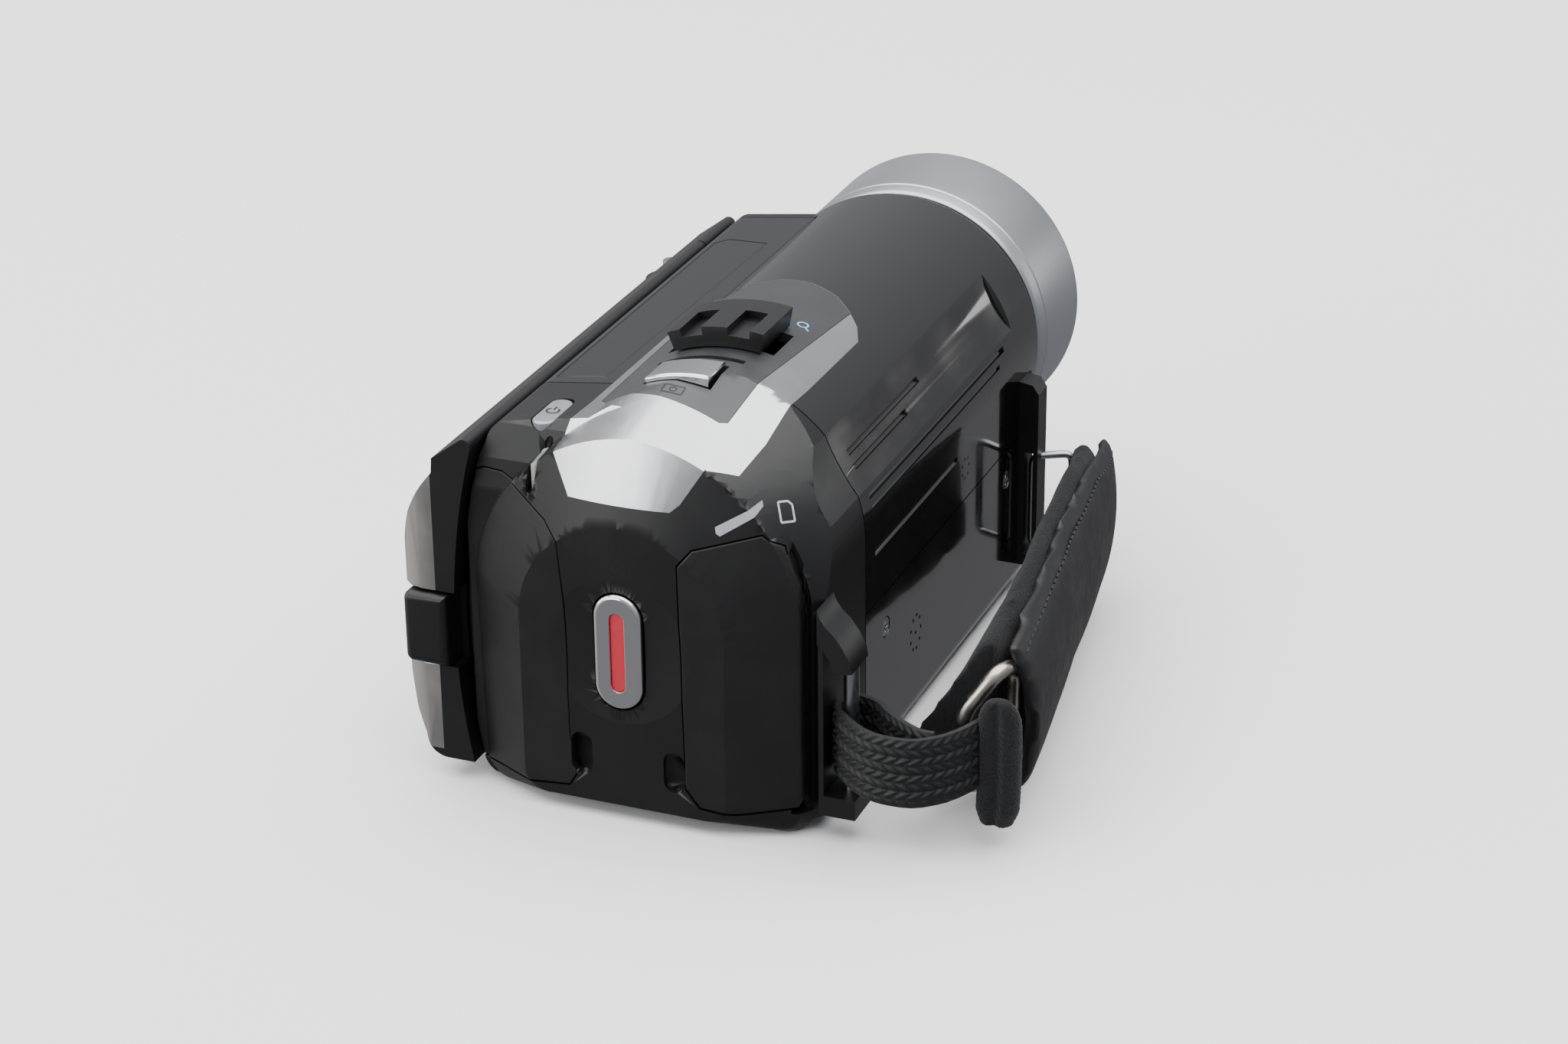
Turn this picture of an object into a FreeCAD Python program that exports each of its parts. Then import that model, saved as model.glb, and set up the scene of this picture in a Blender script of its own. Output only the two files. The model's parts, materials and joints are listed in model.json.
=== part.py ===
import FreeCAD, Part
import math
import os
from FreeCAD import Rotation, Vector

os.makedirs("parts", exist_ok=True)

# ---------------------------------------------------------------------------
# A compact camcorder. While it is drawn, x runs to the hand-strap side, y runs
# forward from the flat rear face, and z runs up from the flat bottom. On
# export everything moves back by SOCKET_Y, so that the origin is the mouth of
# the tripod socket. All sizes are in millimetres.
# ---------------------------------------------------------------------------
LENGTH = 129.0            # rear face to front rim of the lens ring
SOCKET_Y = 60.0           # tripod socket behind the rear face
SOCKET_R = 3.175          # 1/4 inch thread, major radius
SOCKET_DEPTH = 5.5

LENS_X = 5.7              # optical axis
LENS_Z = 39.8
BARREL_R = 24.2
RING_REAR = 108.2
SHELL_REAR = 24.5         # joint between the rear housing and the shells
SHELL_FRONT = 101.0
BARREL_FRONT = 106.6
SIDE_X = LENS_X + BARREL_R
SIDE_SEAM_Z = 27.8        # joint between barrel shell and grip cover
WALL = 1.8
GAP = 0.25                # visible joint between two covers

FLUTE_LOW = 17.6          # degrees on the barrel, lower crease of the finger rest
FLUTE_HIGH = 42.5
FLUTE_DEPTH = 0.9

THREAD_R = 18.5           # filter thread in the lens ring
THREAD_LEN = 4.0

SCREEN_AXIS_X = -31.9     # upright hinge of the side screen
SCREEN_AXIS_Y = 96.0
SCREEN_REAR = 2.6


# ---------------------------------------------------------------------------
# Helpers
# ---------------------------------------------------------------------------
def on_barrel(angle, radius=BARREL_R):
    """A point (x, z) on the barrel's outline, angle in degrees from +x."""
    a = math.radians(angle)
    return (LENS_X + radius * math.cos(a), LENS_Z + radius * math.sin(a))


def xz_wire(start, segments, y):
    """A closed wire at depth y. A segment is (end,) or (middle, end)."""
    edges = []
    here = Vector(start[0], y, start[1])
    for segment in segments:
        end = Vector(segment[-1][0], y, segment[-1][1])
        if len(segment) == 1:
            edges.append(Part.LineSegment(here, end).toShape())
        else:
            middle = Vector(segment[0][0], y, segment[0][1])
            edges.append(Part.Arc(here, middle, end).toShape())
        here = end
    return Part.Wire(edges)


def solid_between(wires):
    return Part.makeLoft(wires, True, True)


def plate_y(points, y0, y1):
    """Polygon of (x, z) points, extruded from y0 to y1."""
    wire = Part.makePolygon([Vector(x, y0, z) for x, z in points + points[:1]])
    return Part.Face(wire).extrude(Vector(0, y1 - y0, 0))


def plate_z(points, z0, z1):
    """Polygon of (x, y) points, extruded from z0 to z1."""
    wire = Part.makePolygon([Vector(x, y, z0) for x, y in points + points[:1]])
    return Part.Face(wire).extrude(Vector(0, 0, z1 - z0))


def box(x0, x1, y0, y1, z0, z1):
    return Part.makeBox(x1 - x0, y1 - y0, z1 - z0, Vector(x0, y0, z0))


def rod(start, axis, radius, length):
    return Part.makeCylinder(radius, length, Vector(*start), Vector(*axis))


def ring(y0, y1, outer, inner, x=LENS_X, z=LENS_Z):
    tube = rod((x, y0, z), (0, 1, 0), outer, y1 - y0)
    return tube.cut(rod((x, y0 - 1, z), (0, 1, 0), inner, y1 - y0 + 2))


def obround(x, z, width, height, y0, y1):
    """Upright stadium in the x-z plane, extruded along y."""
    r = width / 2.0
    half = height / 2.0 - r
    start = (x - r, z - half)
    shape = [((x, z - half - r), (x + r, z - half)), ((x + r, z + half),),
             ((x, z + half + r), (x - r, z + half)), (start,)]
    return Part.Face(xz_wire(start, shape, y0)).extrude(Vector(0, y1 - y0, 0))


def softened(shape, radius, choose=None):
    """The shape with its chosen edges rounded, or as it was if they can't be."""
    edges = [e for e in shape.Edges if choose is None or choose(e)]
    try:
        done = shape.makeFillet(radius, edges)
        if done.isValid() and done.Volume > 0:
            return done
    except Exception:
        pass
    return shape


def one_solid(shape):
    """The largest solid of a result that may carry slivers."""
    return max(shape.Solids, key=lambda s: s.Volume)


def join(shapes):
    total = shapes[0]
    for shape in shapes[1:]:
        total = total.fuse(shape)
    return total.removeSplitter()


made = {}


def export(name, shape, group=False):
    shape = shape.copy()
    shape.translate(Vector(0, -SOCKET_Y, 0))
    solids = shape.Solids
    if not group:
        shape = max(solids, key=lambda s: s.Volume)
    elif len(solids) > 1:
        shape = Part.makeCompound(solids)
    shape.exportStep("parts/" + name + ".step")
    made[name] = shape
    print(name, len(solids), round(shape.Volume, 1), shape.isValid())


# ---------------------------------------------------------------------------
# The outer form: one long profile, closed at the rear by a flared arch
# ---------------------------------------------------------------------------
def profile(d, y):
    """Outline of the body at depth y, set in by d."""
    side = SIDE_X - d
    radius = BARREL_R - d
    start = (-20.5 + d, d)
    return xz_wire(start, [
        ((26.3 - d, d),),
        ((28.8 - d, 1.1 + d), (side, 3.6 + d)),
        ((side, LENS_Z),),
        (on_barrel(FLUTE_LOW / 2, radius), on_barrel(FLUTE_LOW, radius)),
        (on_barrel(30.0, radius - FLUTE_DEPTH), on_barrel(FLUTE_HIGH, radius)),
        (on_barrel(85.0, radius), on_barrel(124.2, radius)),
        ((-20.7 + d, 58.2 - d),),
        ((-22.2 + d, 57.4 - d), (-22.9 + d, 55.6 - d)),
        ((-26.8 + d, 28.0), (-24.5 + d, 3.9 + d)),
        ((-23.2 + d, 1.0 + d), start),
    ], y)


def long_form(d, y0, y1):
    return Part.Face(profile(d, y0)).extrude(Vector(0, y1 - y0, 0))


def arch_flat(y):
    """The flat rear face: a tombstone outline."""
    start = (-15.4, 5.2)
    return xz_wire(start, [
        ((-13.4, 3.0), (-11.0, 2.6)), ((13.0, 2.6),), ((15.6, 3.2), (17.2, 5.4)),
        ((17.2, 31.5),), ((12.4, 43.0), (0.9, 47.8)), ((-10.6, 43.0), (-15.4, 31.5)), (start,),
    ], y)


def arch_ridge(y):
    """The crease where the rear face turns forward."""
    start = (-23.6, 5.0)
    return xz_wire(start, [
        ((-22.0, 1.9), (-18.8, 1.0)), ((23.0, 1.0),), ((26.2, 2.0), (27.2, 5.2)),
        ((27.3, 35.5),), ((19.4, 52.4), (1.5, 60.4)), ((-16.6, 52.0), (-24.3, 35.5)), (start,),
    ], y)


def arch_flare(y):
    """The ridge carried forward past the body's own outline."""
    start = (-26.4, 4.0)
    return xz_wire(start, [
        ((-24.0, -8.0), (-18.8, -14.0)), ((23.0, -14.0),), ((36.0, -6.0), (41.5, 4.0)),
        ((42.0, 36.0),), ((24.6, 57.4), (1.5, 65.0)), ((-19.5, 54.6), (-26.4, 36.0)), (start,),
    ], y)


arch = solid_between([arch_flat(0.0), arch_ridge(4.2)]).fuse(
    solid_between([arch_ridge(4.2), arch_flare(25.0)]))
LEFT_REAR = [(7.5, -1.0), (5.6, 1.0), (4.7, 4.0), (4.7, 48.5), (5.6, 53.5), (8.6, 58.0), (12.5, 61.5),
             (25.0, 61.5), (25.0, -1.0), (7.5, -1.0)]
left_rear = Part.makePolygon([Vector(-30, y, z) for y, z in LEFT_REAR])
left_block = Part.Face(left_rear).extrude(Vector(32.0, 0, 0))
rear_form = one_solid(arch.fuse(left_block).common(long_form(0.0, -1.0, 25.0)))
body_form = one_solid(rear_form.fuse(long_form(0.0, 25.0 - 0.01, SHELL_FRONT)))


def skin(region, depth_y, depth_z):
    """The outer layer of the body inside a region."""
    inner = body_form.copy()
    inner.translate(Vector(0, depth_y, -depth_z))
    return body_form.common(region).cut(inner)


# ---------------------------------------------------------------------------
# Outlines that lie on the body
# ---------------------------------------------------------------------------
DISH_X, DISH_Z, DISH_R, DISH_SPHERE = 0.6, 28.0, 11.5, 85.0
dish_y = -(DISH_SPHERE - (DISH_SPHERE - math.sqrt(DISH_SPHERE ** 2 - DISH_R ** 2)))
thumb_dish = Part.makeSphere(DISH_SPHERE, Vector(DISH_X, dish_y, DISH_Z))

LEFT_COVER = [(-26.9, 50.2), (-22.6, 51.9), (-19.6, 51.6), (-11.3, 46.9), (-8.9, 44.2), (-8.1, 35.0),
              (-7.8, 13.5), (-6.9, 6.6), (-8.1, 4.6), (-14.8, 4.0), (-27.5, 4.3)]
RIGHT_COVER = [(10.1, 43.4), (12.2, 46.0), (21.8, 48.6), (24.6, 46.6), (26.9, 41.0), (27.9, 33.0),
               (27.9, 7.4), (27.0, 5.3), (18.5, 4.2), (13.0, 4.6), (10.8, 7.4)]
LEFT_HINGE_X, LEFT_HINGE_Y = -25.6, 4.55
RIGHT_HINGE_X, RIGHT_HINGE_Y = 27.6, 4.7
COVER_DEEP = 1.6


def grown(points, by):
    """A polygon pushed out from its middle by about that much."""
    cx = sum(p[0] for p in points) / len(points)
    cz = sum(p[1] for p in points) / len(points)
    out = []
    for x, z in points:
        reach = math.hypot(x - cx, z - cz)
        out.append((x + by * (x - cx) / reach, z + by * (z - cz) / reach))
    return out


left_region = plate_y(LEFT_COVER, -2, 12)
right_region = plate_y(RIGHT_COVER, -2, 14)
left_cover = skin(left_region, COVER_DEEP, 0).cut(box(-40, LEFT_HINGE_X, -5, 20, 0, 60))
right_cover = skin(right_region, COVER_DEEP, 0).cut(box(RIGHT_HINGE_X, 60, -5, 20, 0, 60))
cover_pocket = skin(plate_y(grown(LEFT_COVER, GAP), -2, 12), COVER_DEEP + 0.3, 0)
cover_pocket = cover_pocket.fuse(skin(plate_y(grown(RIGHT_COVER, GAP), -2, 14), COVER_DEEP + 0.3, 0))

TRIM_REAR = [(-7.5, 51.1), (8.5, 51.1), (9.9, 52.3), (12.9, 57.2), (13.5, 70.0), (-12.5, 70.0), (-11.0, 57.0)]
TRIM_TOP = [(-10.9, 4.6), (-10.3, 17.0), (-10.2, 59.0), (-9.4, 59.0), (-8.9, 17.4), (-8.0, 16.6), (11.3, 13.8),
            (12.4, 14.6), (13.6, 32.0), (15.2, 57.0), (17.2, 54.6), (18.7, 51.0), (18.6, 30.0), (18.1, 15.0),
            (17.0, 7.4), (13.2, 4.6)]
PANEL = [(-8.8, 17.5), (-8.0, 16.7), (11.2, 13.9), (12.3, 14.7), (13.5, 32.0), (15.1, 57.2), (11.6, 60.4),
         (6.6, 62.6), (1.0, 63.4), (-4.4, 62.9), (-9.3, 61.0)]
trim_region = plate_y(TRIM_REAR, 0, 7.0).fuse(plate_z(TRIM_TOP, 50.0, 70.0))
panel_region = plate_z(PANEL, 50.0, 70.0)
SHOE = [(-20.6, 27.0), (-12.6, 27.0), (-11.2, 88.0), (-18.8, 90.0), (-20.6, 88.0)]
shoe_region = plate_z(SHOE, 50.0, 70.0)

top_trim = skin(trim_region, 1.2, 1.2).cut(plate_z(grown(PANEL, 0.08), 50, 70))
control_panel = skin(panel_region, 0, 1.6)
trim_pocket = skin(trim_region, 1.3, 1.3)
panel_pocket = skin(plate_z(grown(PANEL, 0.1), 50.0, 70.0), 0, 1.7)
shoe_cover = skin(shoe_region, 0, 1.0)
shoe_pocket = skin(plate_z(grown(SHOE, 0.15), 50.0, 70.0), 0, 1.1)

BUTTON_X, BUTTON_Z, BUTTON_W, BUTTON_H = 0.45, 28.05, 7.7, 18.7
button_hole = obround(BUTTON_X, BUTTON_Z, BUTTON_W + 0.5, BUTTON_H + 0.5, -3, 4.6)
button_stem_hole = rod((BUTTON_X, 3, BUTTON_Z), (0, 1, 0), 2.2, 12)
POWER_X, POWER_Y, POWER_W, POWER_L = -14.9, 13.2, 3.6, 9.4
ZOOM_Y0, ZOOM_Y1 = 33.0, 45.0
PHOTO_Y0, PHOTO_Y1 = 19.8, 26.4
PHOTO_A0, PHOTO_A1 = 86.5, 110.5


def flat_obround(x, y, width, length, z0, z1):
    shape = obround(x, 0, width, length, z0, z1)
    shape.rotate(Vector(x, 0, 0), Vector(1, 0, 0), 90)
    shape = shape.copy()
    shape.translate(Vector(0, y, 0))
    bounds = shape.BoundBox
    shape.translate(Vector(0, y - (bounds.YMin + bounds.YMax) / 2, z0 - bounds.ZMin))
    return shape


power_hole = flat_obround(POWER_X, POWER_Y, POWER_W + 0.4, POWER_L + 0.4, 50, 66)
lamp_slot = flat_obround(-13.6, 5.5, 1.5, 5.4, 50, 66)
lamp_slot.rotate(Vector(-13.6, 5.5, 55), Vector(0, 0, 1), -20)
ACCESS = [(15.4, 48.7), (16.0, 48.3), (20.6, 51.2), (21.0, 52.0), (20.6, 52.7), (15.2, 49.6)]
access_slot = skin(plate_y(grown(ACCESS, 0.06), 0, 14), 1.3, 0.5)
lamp_pocket = skin(lamp_slot, 1.1, 1.1)


def sector(y0, y1, r0, r1, a0, a1):
    """Part of a tube about the barrel's axis, between two angles."""
    whole = ring(y0, y1, r1, r0)
    far = 60.0
    points = [(LENS_X, LENS_Z)]
    steps = 6
    for i in range(steps + 1):
        a = math.radians(a0 + (a1 - a0) * i / steps)
        points.append((LENS_X + far * math.cos(a), LENS_Z + far * math.sin(a)))
    return whole.common(plate_y(points, y0 - 1, y1 + 1))


photo_slot = sector(PHOTO_Y0 - 0.3, PHOTO_Y1 + 0.3, 18.0, 27.0, PHOTO_A0 - 1.2, PHOTO_A1 + 1.2)
zoom_slot = sector(34.4, 42.6, 18.0, 27.0, 76.0, 118.0)
slits = sector(28.6, 29.8, 22.4, 27.0, 82.0, 116.0)

# ---------------------------------------------------------------------------
# Rear housing
# ---------------------------------------------------------------------------
cavity_form = rear_form.copy()
cavity_form.translate(Vector(0, 5.4, 0))
cavity = cavity_form.common(long_form(2.4, 0.0, 40.0))
cavity = cavity.common(box(-60, 60, 0, 40, 2.4, 58.0))
rear_housing = rear_form.common(box(-60, 60, -1, SHELL_REAR - GAP / 2, -1, 70))
for tool in (cavity, cover_pocket, trim_pocket, panel_pocket, button_hole, button_stem_hole, thumb_dish,
             power_hole, lamp_pocket, access_slot, photo_slot, box(-60, 60, 6.5, 30, -1, 2.3)):
    rear_housing = rear_housing.cut(tool)
NOTCH_LEFT = obround(-5.9, 10.3, 3.4, 7.0, -1, 1.7)
NOTCH_RIGHT = obround(9.0, 9.7, 3.4, 6.6, -1, 1.7)
rear_housing = rear_housing.cut(NOTCH_LEFT).cut(NOTCH_RIGHT)
for hinge_x, hinge_y in ((LEFT_HINGE_X, LEFT_HINGE_Y), (RIGHT_HINGE_X, RIGHT_HINGE_Y)):
    rear_housing = rear_housing.cut(rod((hinge_x, hinge_y, 4.2), (0, 0, 1), 1.9, 45.0))
for low_x, high_x, low_y, high_y in ((-24.9, -22.4, 4.6, 6.5), (25.2, 27.0, 5.5, 7.1)):
    rear_housing = rear_housing.cut(box(low_x, high_x, low_y, high_y, 4.0, 49.2))

PORTS = {
    "usb_socket": (-16.5, 38.5, 3.2, 7.0),
    "hdmi_socket": (-16.5, 25.0, 3.4, 11.4),
    "component_socket": (-16.5, 11.5, 4.4, 9.6),
}
port_solids = {}
for name, (px, pz, pw, ph) in PORTS.items():
    shell = box(px - pw / 2, px + pw / 2, 7.0, 15.0, pz - ph / 2, pz + ph / 2)
    mouth = box(px - pw / 2 + 0.4, px + pw / 2 - 0.4, 6.0, 13.8, pz - ph / 2 + 0.4, pz + ph / 2 - 0.4)
    tongue = box(px - 0.3, px + 0.3, 9.0, 14.2, pz - ph / 2 + 1.2, pz + ph / 2 - 1.2)
    port_solids[name] = shell.cut(mouth).fuse(tongue)
    opening = box(px - pw / 2 - 0.1, px + pw / 2 + 0.1, -1, 20, pz - ph / 2 - 0.1, pz + ph / 2 + 0.1)
    rear_housing = rear_housing.cut(opening)
JACKS = {"av_jack": (19.5, 23.0, 3.0, 1.75), "dc_jack": (19.5, 10.5, 3.2, 2.2)}
for name, (px, pz, outer, inner) in JACKS.items():
    barrel = rod((px, 7.0, pz), (0, 1, 0), outer, 12.0).cut(rod((px, 6.0, pz), (0, 1, 0), inner, 11.5))
    if name == "dc_jack":
        barrel = barrel.fuse(rod((px, 9.0, pz), (0, 1, 0), 0.6, 9.5))
    port_solids[name] = barrel
    rear_housing = rear_housing.cut(rod((px, -1, pz), (0, 1, 0), outer + 0.1, 21))
export("rear_housing", rear_housing)
for name, shape in port_solids.items():
    export(name, shape)
export("left_port_cover", left_cover.cut(thumb_dish).cut(NOTCH_LEFT))
export("right_port_cover", right_cover.cut(thumb_dish).cut(NOTCH_RIGHT))
export("top_trim", top_trim.cut(power_hole))

# ---------------------------------------------------------------------------
# Shells in front of the rear housing
# ---------------------------------------------------------------------------
y0 = SHELL_REAR + GAP / 2
hollow = long_form(0.0, y0, SHELL_FRONT).cut(long_form(WALL, y0 - 1, SHELL_FRONT + 1))
VALLEY_X = -7.9
PLATE_X = 14.0
PLATE_Z = 5.0

barrel_nose = softened(ring(SHELL_FRONT - 6, BARREL_FRONT, BARREL_R, BARREL_R - WALL), 0.9,
                       lambda e: e.BoundBox.YMin > BARREL_FRONT - 0.01 and e.BoundBox.ZLength > 2 * BARREL_R - 1)
nose_clear = barrel_nose.cut(box(-60, VALLEY_X, 0, SHELL_FRONT, 0, 70)).cut(
    box(-60, 60, 0, SHELL_FRONT, -5, SIDE_SEAM_Z + GAP))
barrel_shell = hollow.common(box(VALLEY_X, 60, 0, 200, SIDE_SEAM_Z + GAP / 2, 70)).fuse(nose_clear)
for tool in (trim_pocket, panel_pocket, photo_slot, zoom_slot):
    barrel_shell = barrel_shell.cut(tool)
for angle, start_y, end_y, wide in ((31.6, 28.5, 58.9, 0.5), (26.0, 28.3, 50.6, 0.5), (14.3, 28.0, 90.0, 0.5),
                                    (9.6, 28.2, 87.0, 0.35)):
    gx, gz = on_barrel(angle, BARREL_R - 0.1 - (FLUTE_DEPTH - 0.2 if angle > FLUTE_LOW else 0.0))
    barrel_shell = barrel_shell.cut(rod((gx, start_y, gz), (0, 1, 0), wide, end_y - start_y))
barrel_shell = barrel_shell.cut(rod((SIDE_X + 0.2, 28.6, 36.4), (0, 1, 0), 0.55, 36.8))
export("barrel_shell", barrel_shell)

grip_cover = hollow.common(box(PLATE_X, 60, 0, 200, -1, SIDE_SEAM_Z - GAP / 2))
SCREWS = [(33.2, 22.0), (90.3, 22.4)]
screws = []
for sy, sz in SCREWS:
    grip_cover = grip_cover.cut(rod((SIDE_X - 0.7, sy, sz), (1, 0, 0), 1.7, 3))
    grip_cover = grip_cover.cut(rod((SIDE_X - 5, sy, sz), (1, 0, 0), 0.9, 8))
    screw = rod((SIDE_X - 0.68, sy, sz), (1, 0, 0), 1.55, 0.6).fuse(rod((SIDE_X - 6, sy, sz), (1, 0, 0), 0.85, 5.4))
    cross = box(SIDE_X - 0.5, SIDE_X + 1, sy - 0.9, sy + 0.9, sz - 0.2, sz + 0.2)
    cross = cross.fuse(box(SIDE_X - 0.5, SIDE_X + 1, sy - 0.2, sy + 0.2, sz - 0.9, sz + 0.9))
    screws.append(screw.cut(cross))
SPEAKER_Y, SPEAKER_Z = 46.6, 14.8
holes = [(0, 0)] + [(2.3 * math.cos(math.radians(40 * i)), 2.9 * math.sin(math.radians(40 * i))) for i in range(9)]
for dy, dz in holes:
    grip_cover = grip_cover.cut(rod((SIDE_X - 4, SPEAKER_Y + dy, SPEAKER_Z + dz), (1, 0, 0), 0.32, 8))
for i in range(7):
    a = math.radians(360 * i / 7)
    hole = rod((SIDE_X - 4, 69.6 + 1.7 * math.cos(a), 33.2 + 1.7 * math.sin(a)), (1, 0, 0), 0.25, 8)
    barrel_shell = barrel_shell.cut(hole)
export("barrel_shell", barrel_shell)
export("side_screws", Part.makeCompound(screws), group=True)
export("speaker", rod((SIDE_X - 5.2, SPEAKER_Y, SPEAKER_Z), (1, 0, 0), 5.0, 3.2))

deck_shell = hollow.common(box(-60, VALLEY_X - 0.06, 0, 200, PLATE_Z + GAP, 70))
for tool in (shoe_pocket, trim_pocket, panel_pocket, zoom_slot, photo_slot):
    deck_shell = deck_shell.cut(tool)
export("deck_shell", deck_shell)
export("shoe_cover", shoe_cover)

DOOR_X0, DOOR_X1, DOOR_Y0, DOOR_Y1, DOOR_Z = -12.6, 21.5, 7.0, 50.0, 1.7
bottom_plate = hollow.common(box(-60, PLATE_X - 0.06, 0, 200, -1, PLATE_Z))
door_hole = box(DOOR_X0 - GAP, DOOR_X1 + GAP, 0, DOOR_Y1 + 0.45, -1, 2.3)
bottom_plate = bottom_plate.cut(door_hole).cut(rod((0, SOCKET_Y, -1), (0, 0, 1), 5.3, 10))
grip_cover = grip_cover.cut(door_hole)
export("grip_cover", grip_cover)
export("bottom_plate", bottom_plate)
socket = rod((0, SOCKET_Y, 0), (0, 0, 1), 5.2, SOCKET_DEPTH + 1.2)
socket = socket.fuse(rod((0, SOCKET_Y, 1.85), (0, 0, 1), 8.0, 1.5))
export("tripod_socket", socket.cut(rod((0, SOCKET_Y, -1), (0, 0, 1), SOCKET_R, SOCKET_DEPTH + 1)))

door = softened(box(DOOR_X0, DOOR_X1, DOOR_Y0, DOOR_Y1, 0.0, DOOR_Z), 0.8, lambda e: e.BoundBox.ZLength > 1)
LATCH_X, LATCH_Y = 4.4, 13.0
door = door.cut(box(LATCH_X - 6.2, LATCH_X + 6.2, LATCH_Y - 3.4, LATCH_Y + 6.4, -1, 1.0))
door = door.cut(box(LATCH_X - 2.1, LATCH_X + 2.1, LATCH_Y - 1.8, LATCH_Y + 4.2, -1, 3))
export("battery_door", door)
latch = box(LATCH_X - 6.0, LATCH_X + 6.0, LATCH_Y - 3.2, LATCH_Y + 3.2, 0.15, 0.9)
latch = latch.fuse(box(LATCH_X - 1.9, LATCH_X + 1.9, LATCH_Y - 1.6, LATCH_Y + 1.6, 0.5, 1.6))
for i in range(5):
    latch = latch.cut(box(LATCH_X - 4.5, LATCH_X + 4.5, LATCH_Y - 2.2 + i, LATCH_Y - 1.8 + i, 0, 0.35))
export("door_latch", latch)

# ---------------------------------------------------------------------------
# Front: bezel, lens collar, ring, lens cover
# ---------------------------------------------------------------------------
bezel = long_form(0.0, SHELL_FRONT + 0.15, SHELL_FRONT + 3.8)
bezel = softened(bezel, 2.0, lambda e: e.BoundBox.YMin > SHELL_FRONT + 3.7)
bezel = bezel.fuse(long_form(WALL + 0.1, SHELL_FRONT - 3, SHELL_FRONT + 0.2))
bezel = bezel.cut(rod((LENS_X, 80, LENS_Z), (0, 1, 0), BARREL_R + 0.15, 60))
bezel = bezel.cut(long_form(WALL + 1.4, SHELL_FRONT - 4, SHELL_FRONT + 2.2))
MIC_X, MIC_Z = 2.0, 8.2
LAMP_X, LAMP_Z = -18.6, 52.6
FLASH = (-22.4, -13.6, 12.0, 19.0)
for side in (-1, 1):
    for i in range(5):
        slot_x = MIC_X + side * (3.4 + 1.9 * i)
        bezel = bezel.cut(box(slot_x - 0.5, slot_x + 0.5, 80, 120, MIC_Z - 2.4, MIC_Z + 2.4))
bezel = bezel.cut(rod((LAMP_X, 95, LAMP_Z), (0, 1, 0), 2.2, 20))
bezel = bezel.cut(box(FLASH[0] - 0.1, FLASH[1] + 0.1, 95, 120, FLASH[2] - 0.1, FLASH[3] + 0.1))
export("front_bezel", bezel)
export("assist_lamp", softened(rod((LAMP_X, 99.5, LAMP_Z), (0, 1, 0), 2.1, 5.2), 0.6, lambda e: e.BoundBox.YMin > 104.6))
export("flash_window", box(FLASH[0], FLASH[1], 99.5, SHELL_FRONT + 3.6, FLASH[2], FLASH[3]))
mics = [rod((MIC_X + side * 7.0, 96.0, MIC_Z), (0, 1, 0), 3.4, 3.0) for side in (-1, 1)]
export("microphones", Part.makeCompound(mics), group=True)

collar = ring(101.3, 112.0, 22.2, 20.6).fuse(ring(BARREL_FRONT + 0.1, RING_REAR - 0.1, 22.9, 20.6))
export("lens_collar", collar)
ring_line = [(RING_REAR, 22.3), (RING_REAR, 23.45), (RING_REAR + 0.5, 23.75), (RING_REAR + 2.7, 24.1),
             (RING_REAR + 3.0, 23.95), (RING_REAR + 3.3, 24.15), (LENGTH - 1.0, BARREL_R + 0.04),
             (LENGTH, BARREL_R - 0.7), (LENGTH, 22.4), (LENGTH - 1.6, 20.6), (LENGTH - 1.6, THREAD_R),
             (LENGTH - 1.6 - THREAD_LEN, THREAD_R), (LENGTH - 1.6 - THREAD_LEN, 19.6), (121.6, 19.6),
             (121.6, 21.7), (112.2, 21.7), (112.2, 22.3)]
ring_face = Part.Face(Part.makePolygon([Vector(LENS_X + r, y, LENS_Z) for y, r in ring_line + ring_line[:1]]))
lens_ring = ring_face.revolve(Vector(LENS_X, 0, LENS_Z), Vector(0, 1, 0), 360)
export("lens_ring", lens_ring)

WINDOW_W, WINDOW_H = 25.0, 15.0
window_plate = rod((LENS_X, 120.2, LENS_Z), (0, 1, 0), 21.6, 1.3)
window_plate = window_plate.cut(box(LENS_X - WINDOW_W / 2, LENS_X + WINDOW_W / 2, 110, 130,
                                    LENS_Z - WINDOW_H / 2, LENS_Z + WINDOW_H / 2))
export("window_plate", softened(window_plate, 2.5, lambda e: abs(e.BoundBox.YLength - 1.3) < 0.01 and
                                abs(e.BoundBox.XMin - LENS_X) < WINDOW_W / 2 + 0.1))
BLADE_Y0, BLADE_Y1, BLADE_TRAVEL = 118.4, 119.5, 8.2
blade = box(LENS_X - 13.2, LENS_X + 13.2, BLADE_Y0, BLADE_Y1, LENS_Z + 0.1, LENS_Z + 8.3)
export("upper_blade", blade.common(rod((LENS_X, 110, LENS_Z - BLADE_TRAVEL), (0, 1, 0), 21.3, 20)))
blade = box(LENS_X - 13.2, LENS_X + 13.2, BLADE_Y0, BLADE_Y1, LENS_Z - 8.3, LENS_Z - 0.1)
export("lower_blade", blade.common(rod((LENS_X, 110, LENS_Z + BLADE_TRAVEL), (0, 1, 0), 21.3, 20)))

# ---------------------------------------------------------------------------
# Lens and electronics
# ---------------------------------------------------------------------------
tube = ring(50.0, 117.0, 20.4, 18.9).cut(ring(95.0, 120.0, 30.0, 20.4))
export("lens_tube", tube)


def lens_glass(y, radius, thick):
    """Round element, flat behind and crowned in front."""
    glass = rod((LENS_X, y, LENS_Z), (0, 1, 0), radius, thick)
    return softened(glass, thick * 0.8, lambda e: e.BoundBox.YMin > y + thick - 0.01)


def carrier(y, thick, hole):
    return ring(y, y + thick, 18.5, hole)


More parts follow.
